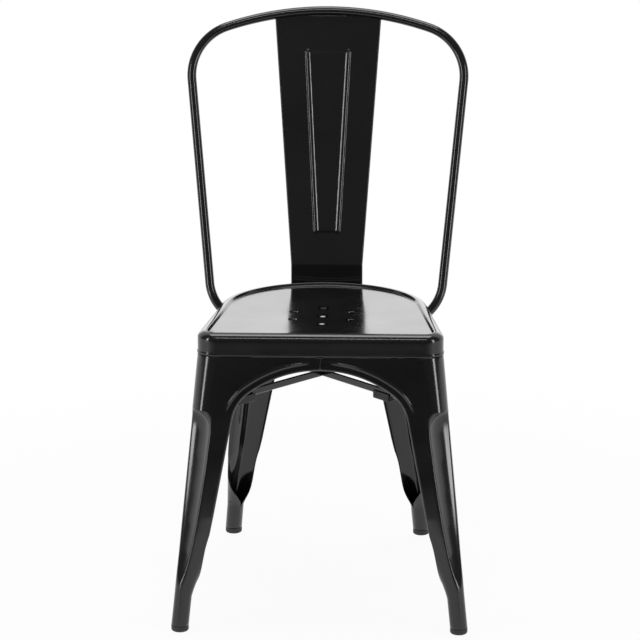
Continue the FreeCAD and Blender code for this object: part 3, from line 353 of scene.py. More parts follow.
# %% [markdown]
# Seven drain holes are punched in the panel. The punch pulls the edge of each hole down a little, and
# that small rounding is what catches the light. The panel is filled round seven circles, and one
# Geometry Nodes tree puts the same turned collar in each circle.

# %% The panel and its drain holes
DRAIN_RADIUS = 4.0
DRAIN_LIP = 2.0
DRAIN_EDGE = DRAIN_RADIUS + DRAIN_LIP
DRAIN_FALL = 0.8
DRAIN_RING = 50.0
DRAIN_Y = -54.0
RING_HOLES = 6
DRAIN_SIDES = 40
GRID_HALF = (200.0, 260.0)
EDGE_ROOM = 0.6 * PANEL_STEP
HOLE_ROOM = 2.0


def drain_places():
    places = [(0.0, DRAIN_Y)]
    for turn in range(RING_HOLES):
        angle = math.radians(30.0 + 360.0 / RING_HOLES * turn)
        places.append((DRAIN_RING * math.cos(angle), DRAIN_Y + DRAIN_RING * math.sin(angle)))
    return places


def circle(place, radius):
    angles = np.linspace(0, 2 * math.pi, DRAIN_SIDES, endpoint=False)
    return np.stack([place[0] + radius * np.cos(angles), place[1] + radius * np.sin(angles)], axis=1)


def dish(x, y):
    """How far the panel sinks towards its middle."""
    swell = np.exp(-((x / DISH_X) ** 2) - ((y - DISH_PLACE) / DISH_Y) ** 2)
    return DISH_DEPTH * np.clip(swell - 0.03, 0.0, None)


def panel_mesh():
    """Points and triangles of the panel, between its edge and the circles of the drain holes."""
    edge = SeatPlan(PANEL_EDGE).whole()
    holes = [circle(place, DRAIN_EDGE) for place in drain_places()]
    xs, ys = np.meshgrid(*(np.arange(-half, half + 0.1, PANEL_STEP) for half in GRID_HALF))
    inner = np.column_stack([xs.ravel(), ys.ravel()])
    room = np.array([np.hypot(*(edge - point).T).min() for point in inner])
    keep = (room > EDGE_ROOM) & inside_outline(inner, edge)
    for place in drain_places():
        keep &= np.hypot(*(inner - place).T) > DRAIN_EDGE + HOLE_ROOM
    points, links = [], []
    for ring in [edge] + holes:
        first = len(points)
        points += [Vector(point) for point in ring.tolist()]
        links += [(first + i, first + (i + 1) % len(ring)) for i in range(len(ring))]
    points += [Vector(point) for point in inner[keep].tolist()]
    found, _, triangles, *_ = delaunay_2d_cdt(points, links, [], 0, 1e-6)
    flat = np.array([tuple(point) for point in found])
    centres = np.array([flat[list(triangle)].mean(axis=0) for triangle in triangles])
    good = inside_outline(centres, edge)
    for place in drain_places():
        good &= np.hypot(*(centres - place).T) > DRAIN_EDGE - 0.2
    height = -PANEL_DROP - dish(flat[:, 0], flat[:, 1])
    return flat, height, [triangle for triangle, kept in zip(triangles, good) if kept]


def inside_outline(points, outline):
    """Which points lie inside a closed outline, by counting the edges to their right."""
    x, y = points[:, 0][:, None], points[:, 1][:, None]
    ax, ay = outline[:, 0][None], outline[:, 1][None]
    bx, by = np.roll(outline, -1, axis=0).T[:, None]
    crosses = (ay > y) != (by > y)
    at = ax + (y - ay) * (bx - ax) / np.where(by == ay, 1e-9, by - ay)
    return (np.sum(crosses & (x < at), axis=1) % 2) == 1


print("drain holes:", len(drain_places()))

# %% Build the pan
def make_pan():
    profile = pan_profile()
    rows = []
    for inset, height in profile:
        plan = SeatPlan(inset).whole()
        rows.append(on_seat(np.column_stack([plan, np.full(len(plan), height)])))
    columns = len(rows[0])
    points = np.concatenate(rows)
    faces = grid_faces(len(rows), columns, closed=True, flip=True)
    flat, height, triangles = panel_mesh()
    for lower, turned in ((0.0, False), (GAUGE, True)):
        start = len(points)
        points = np.concatenate([points, on_seat(np.column_stack([flat, height - lower]))])
        for triangle in triangles:
            corners = tuple(start + index for index in triangle)
            faces.append(corners[::-1] if turned else corners)
    pan = mesh_piece("seat_pan_skin", points, faces, enamel)
    mesh = bmesh.new()
    mesh.from_mesh(pan.data)
    bmesh.ops.remove_doubles(mesh, verts=mesh.verts, dist=0.00001)
    mesh.to_mesh(pan.data)
    mesh.free()
    return pan


pan = make_pan()
print("pan faces:", len(pan.data.polygons))

# %% A tree that puts one shape on many points
def open_tree(name, **inputs):
    """A Geometry Nodes tree with these inputs and one output, and its input sockets."""
    tree = bpy.data.node_groups.new(name, "GeometryNodeTree")
    for label, kind in inputs.items():
        tree.interface.new_socket(label, in_out="INPUT", socket_type="NodeSocket" + kind)
    tree.interface.new_socket("Geometry", in_out="OUTPUT", socket_type="NodeSocketGeometry")
    return tree, tree.nodes.new("NodeGroupInput").outputs


def tree_node(tree, kind, output, **inputs):
    """One node of a tree. An input is a socket to link or a plain value."""
    node = tree.nodes.new("GeometryNode" + kind)
    for label, value in inputs.items():
        socket = node.inputs[label.replace("_", " ")]
        if isinstance(value, bpy.types.NodeSocket):
            tree.links.new(value, socket)
        else:
            socket.default_value = value
    return node.outputs[output]


def close_tree(tree, shape, material):
    """Make the shape real, give it its material and put it out."""
    real = tree_node(tree, "RealizeInstances", "Geometry", Geometry=shape)
    paint = tree_node(tree, "SetMaterial", "Geometry", Geometry=real, Material=material)
    tree.links.new(paint, tree.nodes.new("NodeGroupOutput").inputs["Geometry"])
    return tree


def instance_tree(name, material):
    """The object's points each get the shape."""
    tree, given = open_tree(name, Points="Geometry", Shape="Object", Tilt="Vector")
    shape = tree_node(tree, "ObjectInfo", "Geometry", Object=given["Shape"])
    copies = tree_node(
        tree, "InstanceOnPoints", "Instances", Points=given["Points"], Instance=shape, Rotation=given["Tilt"]
    )
    return close_tree(tree, copies, material)


def set_input(modifier, name, value):
    """Set a modifier's input by the identifier of the socket with this name."""
    for socket in modifier.node_group.interface.items_tree:
        if socket.in_out == "INPUT" and socket.name == name:
            modifier[socket.identifier] = value


def applied(piece, name):
    """A plain mesh object in place of one with modifiers."""
    graph = bpy.context.evaluated_depsgraph_get()
    mesh = bpy.data.meshes.new_from_object(piece.evaluated_get(graph))
    mesh.name = name
    plain = bpy.data.objects.new(name, mesh)
    bpy.context.scene.collection.objects.link(plain)
    bpy.data.objects.remove(piece)
    return plain


def copies_on_points(name, shape, points, material, tilt):
    carrier = mesh_piece(name + "_points", points, [], material)
    modifier = carrier.modifiers.new("copies", "NODES")
    modifier.node_group = instance_tree(name + "_tree", material)
    set_input(modifier, "Shape", shape)
    set_input(modifier, "Tilt", tilt)
    return applied(carrier, name)


print("tree helper ready")

# %% Drain collars, one shape on seven points
def turned_shape(name, profile, sides, material):
    """A shape turned about the Z axis from (radius, height) pairs."""
    angles = np.linspace(0, 2 * math.pi, sides, endpoint=False)
    points = [
        (radius * math.cos(angle), radius * math.sin(angle), height)
        for radius, height in profile
        for angle in angles
    ]
    return mesh_piece(name, points, grid_faces(len(profile), sides, closed=True), material)


fall = DRAIN_LIP - 0.3
collar_profile = [(DRAIN_EDGE, 0.0), (DRAIN_RADIUS + fall, 0.0)]
collar_profile += rounded(DRAIN_RADIUS + fall, 0.0, fall, DRAIN_FALL, np.linspace(0, 90, 7)[1:])
collar_profile += [(DRAIN_RADIUS, -GAUGE), (DRAIN_EDGE, -GAUGE)]
collar = turned_shape("drain_collar", collar_profile, DRAIN_SIDES, enamel)
for polygon in collar.data.polygons:
    polygon.flip()
drain_points = on_seat([(x, y, -PANEL_DROP) for x, y in drain_places()])
collars = copies_on_points("drain_collars", collar, drain_points, enamel, tilt=(-SEAT_TILT, 0.0, 0.0))
bpy.data.objects.remove(collar)
# The collars follow the dish of the panel, so each of their points sinks with it.
seat_origin, seat_along, seat_up = on_seat([(0.0, 0.0, 0.0), (0.0, 1.0, 0.0), (0.0, 0.0, 1.0)])
for vertex in collars.data.vertices:
    along = (np.array(vertex.co) / MM - seat_origin) @ (seat_along - seat_origin)
    vertex.co -= Vector((seat_up - seat_origin) * float(dish(vertex.co.x / MM, along)) * MM)


def join(main, *others):
    """Join plain meshes into the first one."""
    mesh = bmesh.new()
    mesh.from_mesh(main.data)
    for other in others:
        mesh.from_mesh(other.data)
        bpy.data.objects.remove(other)
    bmesh.ops.remove_doubles(mesh, verts=mesh.verts, dist=0.00002)
    mesh.to_mesh(main.data)
    mesh.free()
    return main


seat_pan = join(pan, collars)
weight = seat_pan.modifiers.new("flat faces stay flat", "WEIGHTED_NORMAL")
weight.keep_sharp = True
finish_piece(seat_pan, "black_enamel", "seat_pan")

# %% [markdown]
# ## The back hoop
# The hoop is one tube, bent in a plane that leans back. Its centre line is a crown of large radius, two
# corners, two straight sides that open upwards and two feet that turn in to the rear legs.
# A tree in Geometry Nodes carries a circle along that line, which is how a tube bender works too.

# %% The hoop's centre line
HOOP_BASE_Y = 106.0
HOOP_BASE_Z = 400.0
HOOP_LEAN = math.radians(16.4)
HOOP_TUBE = 14.0
HOOP_RISE = 459.3
HOOP_CROWN = 493.0
HOOP_CORNER = 79.0
HOOP_SIDE = 176.3
HOOP_SPLAY = math.radians(5.48)
HOOP_FOOT_BEND = 68.0
HOOP_FOOT_START = 38.0
HOOP_FOOT_TURN = math.radians(58.0)
HOOP_FOOT_RUN = 14.0


def on_hoop(points):
    """Turn (x, height) pairs in the hoop's plane to the leaning plane."""
    points = np.asarray(points, dtype=float)
    x, height = points[:, 0], points[:, 1]
    return np.stack(
        [x, HOOP_BASE_Y + height * math.sin(HOOP_LEAN), HOOP_BASE_Z + height * math.cos(HOOP_LEAN)], axis=1
    )


def hoop_half():
    """Right half of the centre line, from the crown to the foot."""
    normal = np.array([math.cos(HOOP_SPLAY), -math.sin(HOOP_SPLAY)])
    along = np.array([math.sin(HOOP_SPLAY), math.cos(HOOP_SPLAY)])
    middle = np.array([0.0, HOOP_RISE - HOOP_CROWN])
    gap = normal * (normal[0] * HOOP_SIDE - HOOP_CORNER) - middle
    shift = along @ gap
    root = math.sqrt(shift**2 - gap @ gap + (HOOP_CROWN - HOOP_CORNER) ** 2)
    corner = middle + gap + along * (root - shift)
    joint = math.atan2(corner[1] - middle[1], corner[0] - middle[0])
    start = np.array([HOOP_SIDE + math.tan(HOOP_SPLAY) * HOOP_FOOT_START, HOOP_FOOT_START])
    foot = start - normal * HOOP_FOOT_BEND
    turned = -HOOP_SPLAY - HOOP_FOOT_TURN
    runs = [
        round_part(middle, HOOP_CROWN, math.pi / 2, joint, 40),
        round_part(corner, HOOP_CORNER, joint, -HOOP_SPLAY, 40),
    ]
    runs.append(straight(runs[1][-1], start, 40))
    runs.append(round_part(foot, HOOP_FOOT_BEND, -HOOP_SPLAY, turned, 24))
    end = runs[-1][-1] + HOOP_FOOT_RUN * np.array([math.sin(turned), -math.cos(turned)])
    runs.append(straight(runs[-1][-1], end, 3))
    return np.concatenate([runs[0]] + [run[1:] for run in runs[1:]])


half = hoop_half()
hoop_line = on_hoop(np.concatenate([half[:0:-1], half * (-1.0, 1.0)]))
print("hoop line:", len(hoop_line), "points, widest", hoop_line[:, 0].max().round(1))

# %% The tube along the line
def tube_tree(name, material):
    tree, given = open_tree(name, Line="Geometry", Radius="Float", Sides="Int")
    curve = tree_node(tree, "MeshToCurve", "Curve", Mesh=given["Line"])
    ring = {"Radius": given["Radius"], "Resolution": given["Sides"]}
    section = tree_node(tree, "CurvePrimitiveCircle", "Curve", **ring)
    tube = tree_node(tree, "CurveToMesh", "Mesh", Curve=curve, Profile_Curve=section, Fill_Caps=True)
    return close_tree(tree, tree_node(tree, "SetShadeSmooth", "Geometry", Geometry=tube), material)


HOOP_SIDES = 40


def tube_along(name, line, radius, sides, material):
    mesh = bpy.data.meshes.new(name + "_line")
    links = [(at, at + 1) for at in range(len(line) - 1)]
    mesh.from_pydata([tuple(point) for point in line * MM], links, [])
    carrier = bpy.data.objects.new(name + "_line", mesh)
    bpy.context.scene.collection.objects.link(carrier)
    modifier = carrier.modifiers.new("tube", "NODES")
    modifier.node_group = tube_tree(name + "_tree", material)
    set_input(modifier, "Radius", radius * MM)
    set_input(modifier, "Sides", sides)
    return applied(carrier, name)


back_hoop = tube_along("back_hoop_tube", hoop_line, HOOP_TUBE / 2, HOOP_SIDES, enamel)
finish_piece(back_hoop, "black_enamel", "back_hoop")

# %% [markdown]
# ## The back splat
# The splat is pressed from flat sheet. It stands upright behind the seat, bends back just above it and
# widens up to the hoop, where it is welded. Two long ribs and the shallow panel between them stiffen it,
# and its long edges are turned back. It is a fine grid, and the pressed forms are heights added to it.

# %% The splat's measures
SPLAT_TOP_HALF = 82.3
SPLAT_LOW_HALF = 55.5
SPLAT_FACE_Y = 155.0
SPLAT_LOW_Z = 399.0
SPLAT_BEND_Z = 456.0
SPLAT_BEND_RADIUS = 14.0
SPLAT_LEAN = math.radians(11.6)
SPLAT_LENGTH = 386.0
SPLAT_LIP = 5.0
LIP_RADIUS = 2.2
RIB_HALF_WIDTH = 4.4
RIB_HEIGHT = 2.3
RIB_LOW_HALF = 17.0
RIB_HIGH_HALF = 31.5
RIB_LOW = 53.0
RIB_HIGH = 329.0
FIELD_STEP = 0.7
SPLAT_ROWS = 300
SPLAT_COLUMNS = 151


def splat_line(count):
    """Side view of the splat: distance above the bend, place and lean."""
    below = SPLAT_BEND_Z - SPLAT_LOW_Z
    cut = SPLAT_BEND_RADIUS * math.tan(SPLAT_LEAN / 2)
    rows = []
    for along in np.linspace(-below, SPLAT_LENGTH, count):
        if along < -cut:
            rows.append((along, SPLAT_FACE_Y, SPLAT_BEND_Z + along, 0.0))
        elif along < cut:
            turn = SPLAT_LEAN * (along + cut) / (2 * cut)
            y = SPLAT_FACE_Y + SPLAT_BEND_RADIUS * (1 - math.cos(turn))
            rows.append((along, y, SPLAT_BEND_Z - cut + SPLAT_BEND_RADIUS * math.sin(turn), turn))
        else:
            y = SPLAT_FACE_Y + along * math.sin(SPLAT_LEAN)
            rows.append((along, y, SPLAT_BEND_Z + along * math.cos(SPLAT_LEAN), SPLAT_LEAN))
    return np.array(rows)


def pressed_height(x, along):
    """How far the pressed forms stand out at one place on the splat's face."""
    share = np.clip((along - RIB_LOW) / (RIB_HIGH - RIB_LOW), 0.0, 1.0)
    centre = RIB_LOW_HALF + (RIB_HIGH_HALF - RIB_LOW_HALF) * share
    beyond = np.maximum(RIB_LOW - along, along - RIB_HIGH).clip(0.0)
    away = np.hypot(np.abs(x) - centre, beyond)
    rib = RIB_HEIGHT * np.cos(np.clip(away / RIB_HALF_WIDTH, 0.0, 1.0) * math.pi / 2) ** 1.2
    inside = smoothstep(0.0, 5.0, centre - np.abs(x))
    above = smoothstep(RIB_LOW - 6.0, RIB_LOW + 2.0, along)
    below = 1 - smoothstep(RIB_HIGH - 3.0, RIB_HIGH + 3.0, along)
    return np.maximum(rib, 0.0) + FIELD_STEP * inside * above * below


print("splat rows:", len(splat_line(SPLAT_ROWS)))

# %% Build the splat
def make_splat():
    points = []
    across = np.linspace(-1.0, 1.0, SPLAT_COLUMNS)
    for along, y, z, turn in splat_line(SPLAT_ROWS):
        share = np.clip(along / SPLAT_LENGTH, 0.0, 1.0)
        half_width = SPLAT_LOW_HALF + (SPLAT_TOP_HALF - SPLAT_LOW_HALF) * share
        flat = half_width - LIP_RADIUS
        x = across * flat
        out = pressed_height(x, np.full(len(x), along))
        side = rounded(flat, 0.0, -LIP_RADIUS, LIP_RADIUS, np.linspace(0, 90, 6)[1:])
        side += [(half_width, -LIP_RADIUS - 1.2), (half_width, -SPLAT_LIP)]
        row = [(-over, back) for over, back in side[::-1]] + list(zip(x, out)) + side
        points += [(over, y - back * math.cos(turn), z + back * math.sin(turn)) for over, back in row]
    return thicken(mesh_piece("back_splat_sheet", points, grid_faces(SPLAT_ROWS, len(row)), enamel))


back_splat = make_splat()
finish_piece(back_splat, "black_enamel", "back_splat")

# %% [markdown]
# ## The legs
# Each leg is one sheet. At the floor it is rolled into a tube. Further up the roll opens, and the sheet
# becomes a corner with a wing on each side, which meets the next leg's wing under the seat.
# The sheet is described by its cross-sections. A section starts at the corner and is measured along the
# sheet in both directions, so any point of the leg has two numbers: how far along the sheet, and how high.
# The arch edges, the turned lips, the beads and the flute are all laid out in those two numbers.

# %% Sections of one leg, drawn at the floor and at the skirt
FOOT_RADIUS = 13.0
FOOT_CORNER = (220.4, -251.0)
FRONT_FOOT = np.array([FOOT_CORNER[0] - FOOT_RADIUS, FOOT_CORNER[1] + FOOT_RADIUS])
REAR_FOOT_Y = 210.5 - FOOT_RADIUS
REAR_FOOT = np.array([FRONT_FOOT[0] - math.tan(TAPER) * (REAR_FOOT_Y - FRONT_FOOT[1]), REAR_FOOT_Y])
SIDE_SEAM_Y = -14.0
FRONT_KNEE_Y = -140.0
REAR_KNEE_Y = 132.0
SHOULDER = (math.radians(22.0), math.radians(54.0))
TUBE_TOP_Z = 52.0
WING_POINTS = 60
TURN_POINTS = 41
SIDE_POINTS = 40
TURN_START = WING_POINTS - 1
TURN_END = TURN_START + TURN_POINTS - 1
CORNER = (TURN_START + TURN_END) // 2


def floor_seam():
    touch = FRONT_FOOT + FOOT_RADIUS * np.array([math.cos(TAPER), math.sin(TAPER)])
    return np.array([touch[0] - math.tan(TAPER) * (SIDE_SEAM_Y - touch[1]), SIDE_SEAM_Y])


def chain(runs):
    """Join runs of points end to end without doubling the joints."""
    return np.concatenate([runs[0]] + [run[1:] for run in runs[1:]])


def floor_section(foot, away, knee_y):
    """A leg's outline at the floor. Away is -1 for the front leg and 1 for the rear leg."""
    knee = np.array([foot[0] + FOOT_RADIUS, knee_y])
    wall = foot + (0.0, away * FOOT_RADIUS)
    return chain(
        [
            straight((0.0, wall[1]), wall, WING_POINTS),
            round_part(foot, FOOT_RADIUS, away * math.pi / 2, 0.0, TURN_POINTS),
            straight(foot + (FOOT_RADIUS, 0.0), knee, SIDE_POINTS),
            straight(knee, floor_seam(), SIDE_POINTS),
        ]
    )


def front_top(plan):
    """The front leg's outline at the skirt."""
    corner = round_part(plan.corner, plan.corner_radius, -math.pi / 2, TAPER, TURN_POINTS)
    knee = plan.side(FRONT_KNEE_Y)
    return chain(
        [
            straight((0.0, plan.front_y), corner[0], WING_POINTS),
            corner,
            straight(corner[-1], knee, SIDE_POINTS),
            straight(knee, plan.side(SIDE_SEAM_Y), SIDE_POINTS),
        ]
    )


def rear_top(plan):
    turns = [math.pi / 2, SHOULDER[1], SHOULDER[0], TAPER]
    runs = [
        round_part(plan.back, plan.back_radius, start, end, count)
        for start, end, count in zip(turns, turns[1:], (WING_POINTS, TURN_POINTS, SIDE_POINTS))
    ]
    runs.append(straight(runs[-1][-1], plan.side(SIDE_SEAM_Y), SIDE_POINTS))
    return chain(runs)


# The roll is tight on the foot tube and opens as the leg rises.
ROLL = (
    np.array([0.0, TUBE_TOP_Z, 80.0, 96.0, 118.0, 132.0, 148.0, 172.0]),
    np.array([1 / FOOT_RADIUS, 1 / FOOT_RADIUS, 0.0488, 0.036, 0.019, 0.0108, 0.0042, 0.0]),
)


class LegSheet:
    """The outer face of one leg: (distance along the sheet, height) to a point."""

    LEVELS = np.arange(0.0, 432.0, 1.0)
    REACH = np.arange(-330.0, 330.5, 1.0)

    def __init__(self, low, high):
        top = on_seat(np.column_stack([high, np.full(len(high), -(SKIRT_DEPTH + SEAM))]))
        start, end = low[CORNER], top[CORNER]
        self.lean = (end[:2] - start) / end[2]
        self.top = top
        table = []
        for level in self.LEVELS:
            tube = low + self.lean * min(level, TUBE_TOP_Z)
            share = np.clip((level - TUBE_TOP_Z) / (top[:, 2] - TUBE_TOP_Z), 0.0, None)[:, None]
            section = tube + (top[:, :2] - tube) * share
            table.append(self.rolled(section, self.run_of(section), level))
        self.table = np.array(table)
        self.top_run = self.run_of(top)
        self.outward = 1.0 if start[1] < 0 else -1.0

    def run_of(self, line):
        """Distance along a line from its corner."""
        lengths = np.concatenate([[0.0], np.cumsum(np.linalg.norm(np.diff(line, axis=0), axis=1))])
        return lengths - lengths[CORNER]

    def rolled(self, section, run, level):
        """The section on an even scale, with its wings rolled in as far as the table says."""
        out = np.stack([np.interp(self.REACH, run, section[:, axis]) for axis in (0, 1)], axis=1)
        for past, first, second in ((self.REACH < run[0], 0, 1), (self.REACH > run[-1], -1, -2)):
            slope = (section[first] - section[second]) / (run[first] - run[second])
            out[past] += np.outer(self.REACH[past] - run[first], slope)
        bend = np.interp(level, *ROLL)
        if bend < 1e-5:
            return out
        for side, last in ((-1, TURN_START), (1, TURN_END)):
            ahead = section[last + side] - section[last]
            ahead = ahead / np.hypot(*ahead)
            beyond = self.REACH * side > run[last] * side
            angle = bend * (self.REACH[beyond] - run[last]) * side
            inward = self.inside(section, last, ahead)
            turned = np.outer(np.sin(angle), ahead) + np.outer(1 - np.cos(angle), inward)
            out[beyond] = section[last] + turned / bend
        return out

    def inside(self, section, at, ahead):
        """The direction across the sheet that points into the leg."""
        inward = np.array([-ahead[1], ahead[0]])
        centre = section[TURN_START + 1 : TURN_END + 1].mean(axis=0)
        deep = centre + (section[TURN_START] + section[TURN_END] - 2 * section[CORNER])
        return inward if inward @ (deep - section[at]) > 0 else -inward

    def at(self, reach, level):
        """Point of the sheet."""
        reach, level = np.broadcast_arrays(np.asarray(reach, float), np.asarray(level, float))
        row = np.clip(level - self.LEVELS[0], 0, len(self.LEVELS) - 1.001)
        column = np.clip(reach - self.REACH[0], 0, len(self.REACH) - 1.001)
        r0, c0 = row.astype(int), column.astype(int)
        fr, fc = (row - r0)[..., None], (column - c0)[..., None]
        low = self.table[r0, c0] * (1 - fc) + self.table[r0, c0 + 1] * fc
        high = self.table[r0 + 1, c0] * (1 - fc) + self.table[r0 + 1, c0 + 1] * fc
        return np.concatenate([low * (1 - fr) + high * fr, level[..., None]], axis=-1)

    def normal(self, reach, level):
        """Unit normal that points out of the leg."""
        along = self.at(reach + 1.0, level) - self.at(reach - 1.0, level)
        up = self.at(reach, level + 1.0) - self.at(reach, level - 1.0)
        out = np.cross(along, up) * self.outward
        return out / np.linalg.norm(out, axis=-1, keepdims=True)

    def reach_of(self, axis, value, level, side):
        """How far along the sheet a wing first reaches a value of X (axis 0) or Y (axis 1)."""
        out = np.arange(0.0, 330.0, 1.0)
        line = self.at(out * side, np.full(len(out), level))[:, axis] - value
        passed = np.nonzero(np.sign(line) != np.sign(line[0]))[0]
        last = int(passed[0]) if len(passed) else len(out) - 1
        share = line[last - 1] / (line[last - 1] - line[last])
        return float(side * (out[last - 1] + min(max(share, 0.0), 1.0)))


front_sheet = LegSheet(floor_section(FRONT_FOOT, -1, FRONT_KNEE_Y), front_top(SeatPlan()))
rear_sheet = LegSheet(floor_section(REAR_FOOT, 1, REAR_KNEE_Y), rear_top(SeatPlan()))
print("front corner leans", front_sheet.lean.round(4), "rear", rear_sheet.lean.round(4))

# %% [markdown]
# The arch edge is drawn flat: a straight edge that leans in, a round haunch and a wide crown. On the
# sheet it becomes a line of (distance along, height) pairs. Rows of points leave that line at right
# angles, so a bead can follow the edge and the edge itself can be turned in with an even radius.

# %% The arch edges
HAUNCH_Z = 319.8
FLARE_Z = 114.0
ARCH_BAND = 20.5
FRONT_HAUNCH = 128.6
SIDE_HAUNCH = 125.4
REAR_HAUNCH = 74.2
FLARE_OUT = 39.2
SIDE_FLARE_OUT = 47.5
FRONT_CORNER = 62.0
REAR_CORNER = 45.0
CAP_HEIGHT = 9.0
SIDE_MIDDLE = (FRONT_FOOT[1] + REAR_FOOT[1]) / 2
STRAIGHT_ROWS = 104
HAUNCH_ROWS = 34
CROWN_ROWS = 46


def skirt_level(y):
    return on_seat([(0.0, y, -(SKIRT_DEPTH + SEAM))])[0, 2]


def arch_edge(haunch, flare_out, top, corner, end):
    """(offset from the arch's middle, height) pairs from the foot to the crown, which stops at end."""
    splay = math.atan2(flare_out, HAUNCH_Z - FLARE_Z)
    levels = np.linspace(CAP_HEIGHT, HAUNCH_Z, STRAIGHT_ROWS)
    edge = [(haunch + (HAUNCH_Z - level) * math.tan(splay), level) for level in levels[:-1]]
    centre = np.array([haunch - corner * math.cos(splay), HAUNCH_Z - corner * math.sin(splay)])
    rise = top - centre[1]
    crown = (centre[0] ** 2 + rise**2 - corner**2) / (2 * (rise - corner))
    joint = math.atan2(centre[1] - (top - crown), centre[0])
    stop = math.acos(end / crown)
    edge += [tuple(point) for point in round_part(centre, corner, splay, joint, HAUNCH_ROWS)[:-1]]
    edge += [tuple(point) for point in round_part((0.0, top - crown), crown, joint, stop, CROWN_ROWS)]
    return np.array(edge)


seam_end = SIDE_SEAM_Y - SIDE_MIDDLE
side_top = skirt_level(SIDE_SEAM_Y) - ARCH_BAND
front_edge = arch_edge(FRONT_HAUNCH, FLARE_OUT, skirt_level(SEAT_FRONT_Y) - ARCH_BAND, FRONT_CORNER, 0.0)
rear_edge = arch_edge(REAR_HAUNCH, FLARE_OUT, skirt_level(SEAT_REAR_Y) - ARCH_BAND, REAR_CORNER, 0.0)
side_front = arch_edge(SIDE_HAUNCH, SIDE_FLARE_OUT, side_top, FRONT_CORNER, -seam_end)
side_rear = arch_edge(SIDE_HAUNCH, SIDE_FLARE_OUT, side_top, FRONT_CORNER, seam_end)
print("arch edge points:", len(front_edge), "front crown at", front_edge[-1].round(1))

# %% From the flat arch to the sheet's own two numbers
CLOSED_REACH = FOOT_RADIUS * math.pi - 0.15
UNROLL_START_Z = 58.0
UNROLL_END_Z = 146.0


def edge_on_sheet(sheet, edge, side, axis, place):
    """The edge as (distance along the sheet, height). Low down, both edges meet and close the tube."""
    out = []
    for offset, level in edge:
        open_reach = abs(sheet.reach_of(axis, place(offset), max(level, UNROLL_END_Z), side))
        share = smoothstep(UNROLL_START_Z, UNROLL_END_Z, level)
        out.append((side * (CLOSED_REACH * (1 - share) + open_reach * share), level))
    return np.array(out)


front_rows = (
    edge_on_sheet(front_sheet, front_edge, -1, 0, lambda offset: offset),
    edge_on_sheet(front_sheet, side_front, 1, 1, lambda offset: SIDE_MIDDLE - offset),
)
rear_rows = (
    edge_on_sheet(rear_sheet, rear_edge, -1, 0, lambda offset: offset),
    edge_on_sheet(rear_sheet, side_rear, 1, 1, lambda offset: SIDE_MIDDLE + offset),
)
for label, rows in (("front", front_rows), ("rear", rear_rows)):
    print(label, "edges reach", rows[0][0].round(1), rows[0][-1].round(1), rows[1][-1].round(1))

# %% [markdown]
# ### The flute
# The corner of each leg is scooped out by a long flute. In section it is part of a circle whose centre
# lies outside the corner, and the circle swells and shrinks along the leg. Each point inside the circle
# is moved in along the corner's diagonal until it lies on the circle, with a soft edge.

# %% The flute as a push along the diagonal
FLUTE_SOFT = 1.6
FLUTE_BLUR = 25


class Flute:
    def __init__(self, sheet, foot, inward, outside, levels, radii):
        self.foot = np.array(foot)
        self.inward = np.array(inward) / np.hypot(*inward)
        self.outside = outside
        self.sheet = sheet
        fine = np.linspace(levels[0], levels[-1], 400)
        rough = np.interp(fine, levels, radii)
        window = np.hanning(FLUTE_BLUR)
        padded = np.pad(rough, FLUTE_BLUR // 2, mode="edge")
        self.levels = fine
        self.radii = np.convolve(padded, window / window.sum(), mode="valid")

    def push(self, points):
        level = points[..., 2]
        radius = np.interp(level, self.levels, self.radii, left=0.0, right=0.0)
        centre = self.foot - self.inward * self.outside + self.sheet.lean * level[..., None]
        away = points[..., :2] - centre
        deep = away @ self.inward
        across = away @ np.array([-self.inward[1], self.inward[0]])
        wanted = np.sqrt(np.clip(radius**2 - across**2, 0.0, None))
        wanted = np.where(np.abs(across) < radius, wanted, -50.0)
        gap = wanted - deep
        push = np.where(gap > -4 * FLUTE_SOFT, FLUTE_SOFT * np.logaddexp(0.0, gap / FLUTE_SOFT), 0.0)
        fade = smoothstep(self.levels[0] - 3.0, self.levels[0] + 6.0, level)
        fade = fade * (1 - smoothstep(self.levels[-1] - 2.0, self.levels[-1] + 2.0, level))
        out = points.copy()
        out[..., :2] += self.inward * (push * fade)[..., None]
        return out


FLUTE_LEVELS = np.array([70.0, 76.0, 90.0, 116.0, 160.0, 209.0, 257.0, 300.0, 314.0, 323.0, 329.0])
FRONT_FLUTE_RADII = np.array([26.0, 29.0, 33.5, 38.0, 41.5, 44.0, 45.8, 46.4, 45.6, 42.5, 36.0])
REAR_FLUTE_RADII = np.array([24.0, 27.0, 30.0, 33.0, 35.0, 36.0, 36.0, 36.0, 35.0, 32.0, 27.0])
front_flute = Flute(front_sheet, FOOT_CORNER, (-1.0, 1.0), 24.5, FLUTE_LEVELS, FRONT_FLUTE_RADII)
rear_corner = REAR_FOOT + FOOT_RADIUS * math.sqrt(0.5)
rear_flute = Flute(rear_sheet, rear_corner, (-1.0, -1.0), 30.0, FLUTE_LEVELS, REAR_FLUTE_RADII)
print("flute radius at mid leg:", float(np.interp(209.0, front_flute.levels, front_flute.radii)))

# %% [markdown]
# ### Rows from one edge to the other
# Each row of the mesh starts deep inside the turned lip, comes round its bend, crosses the band with the
# bead, runs over the corner and ends inside the other lip. The last rows lie on the line of the skirt
# and on the flange that is tucked behind it.

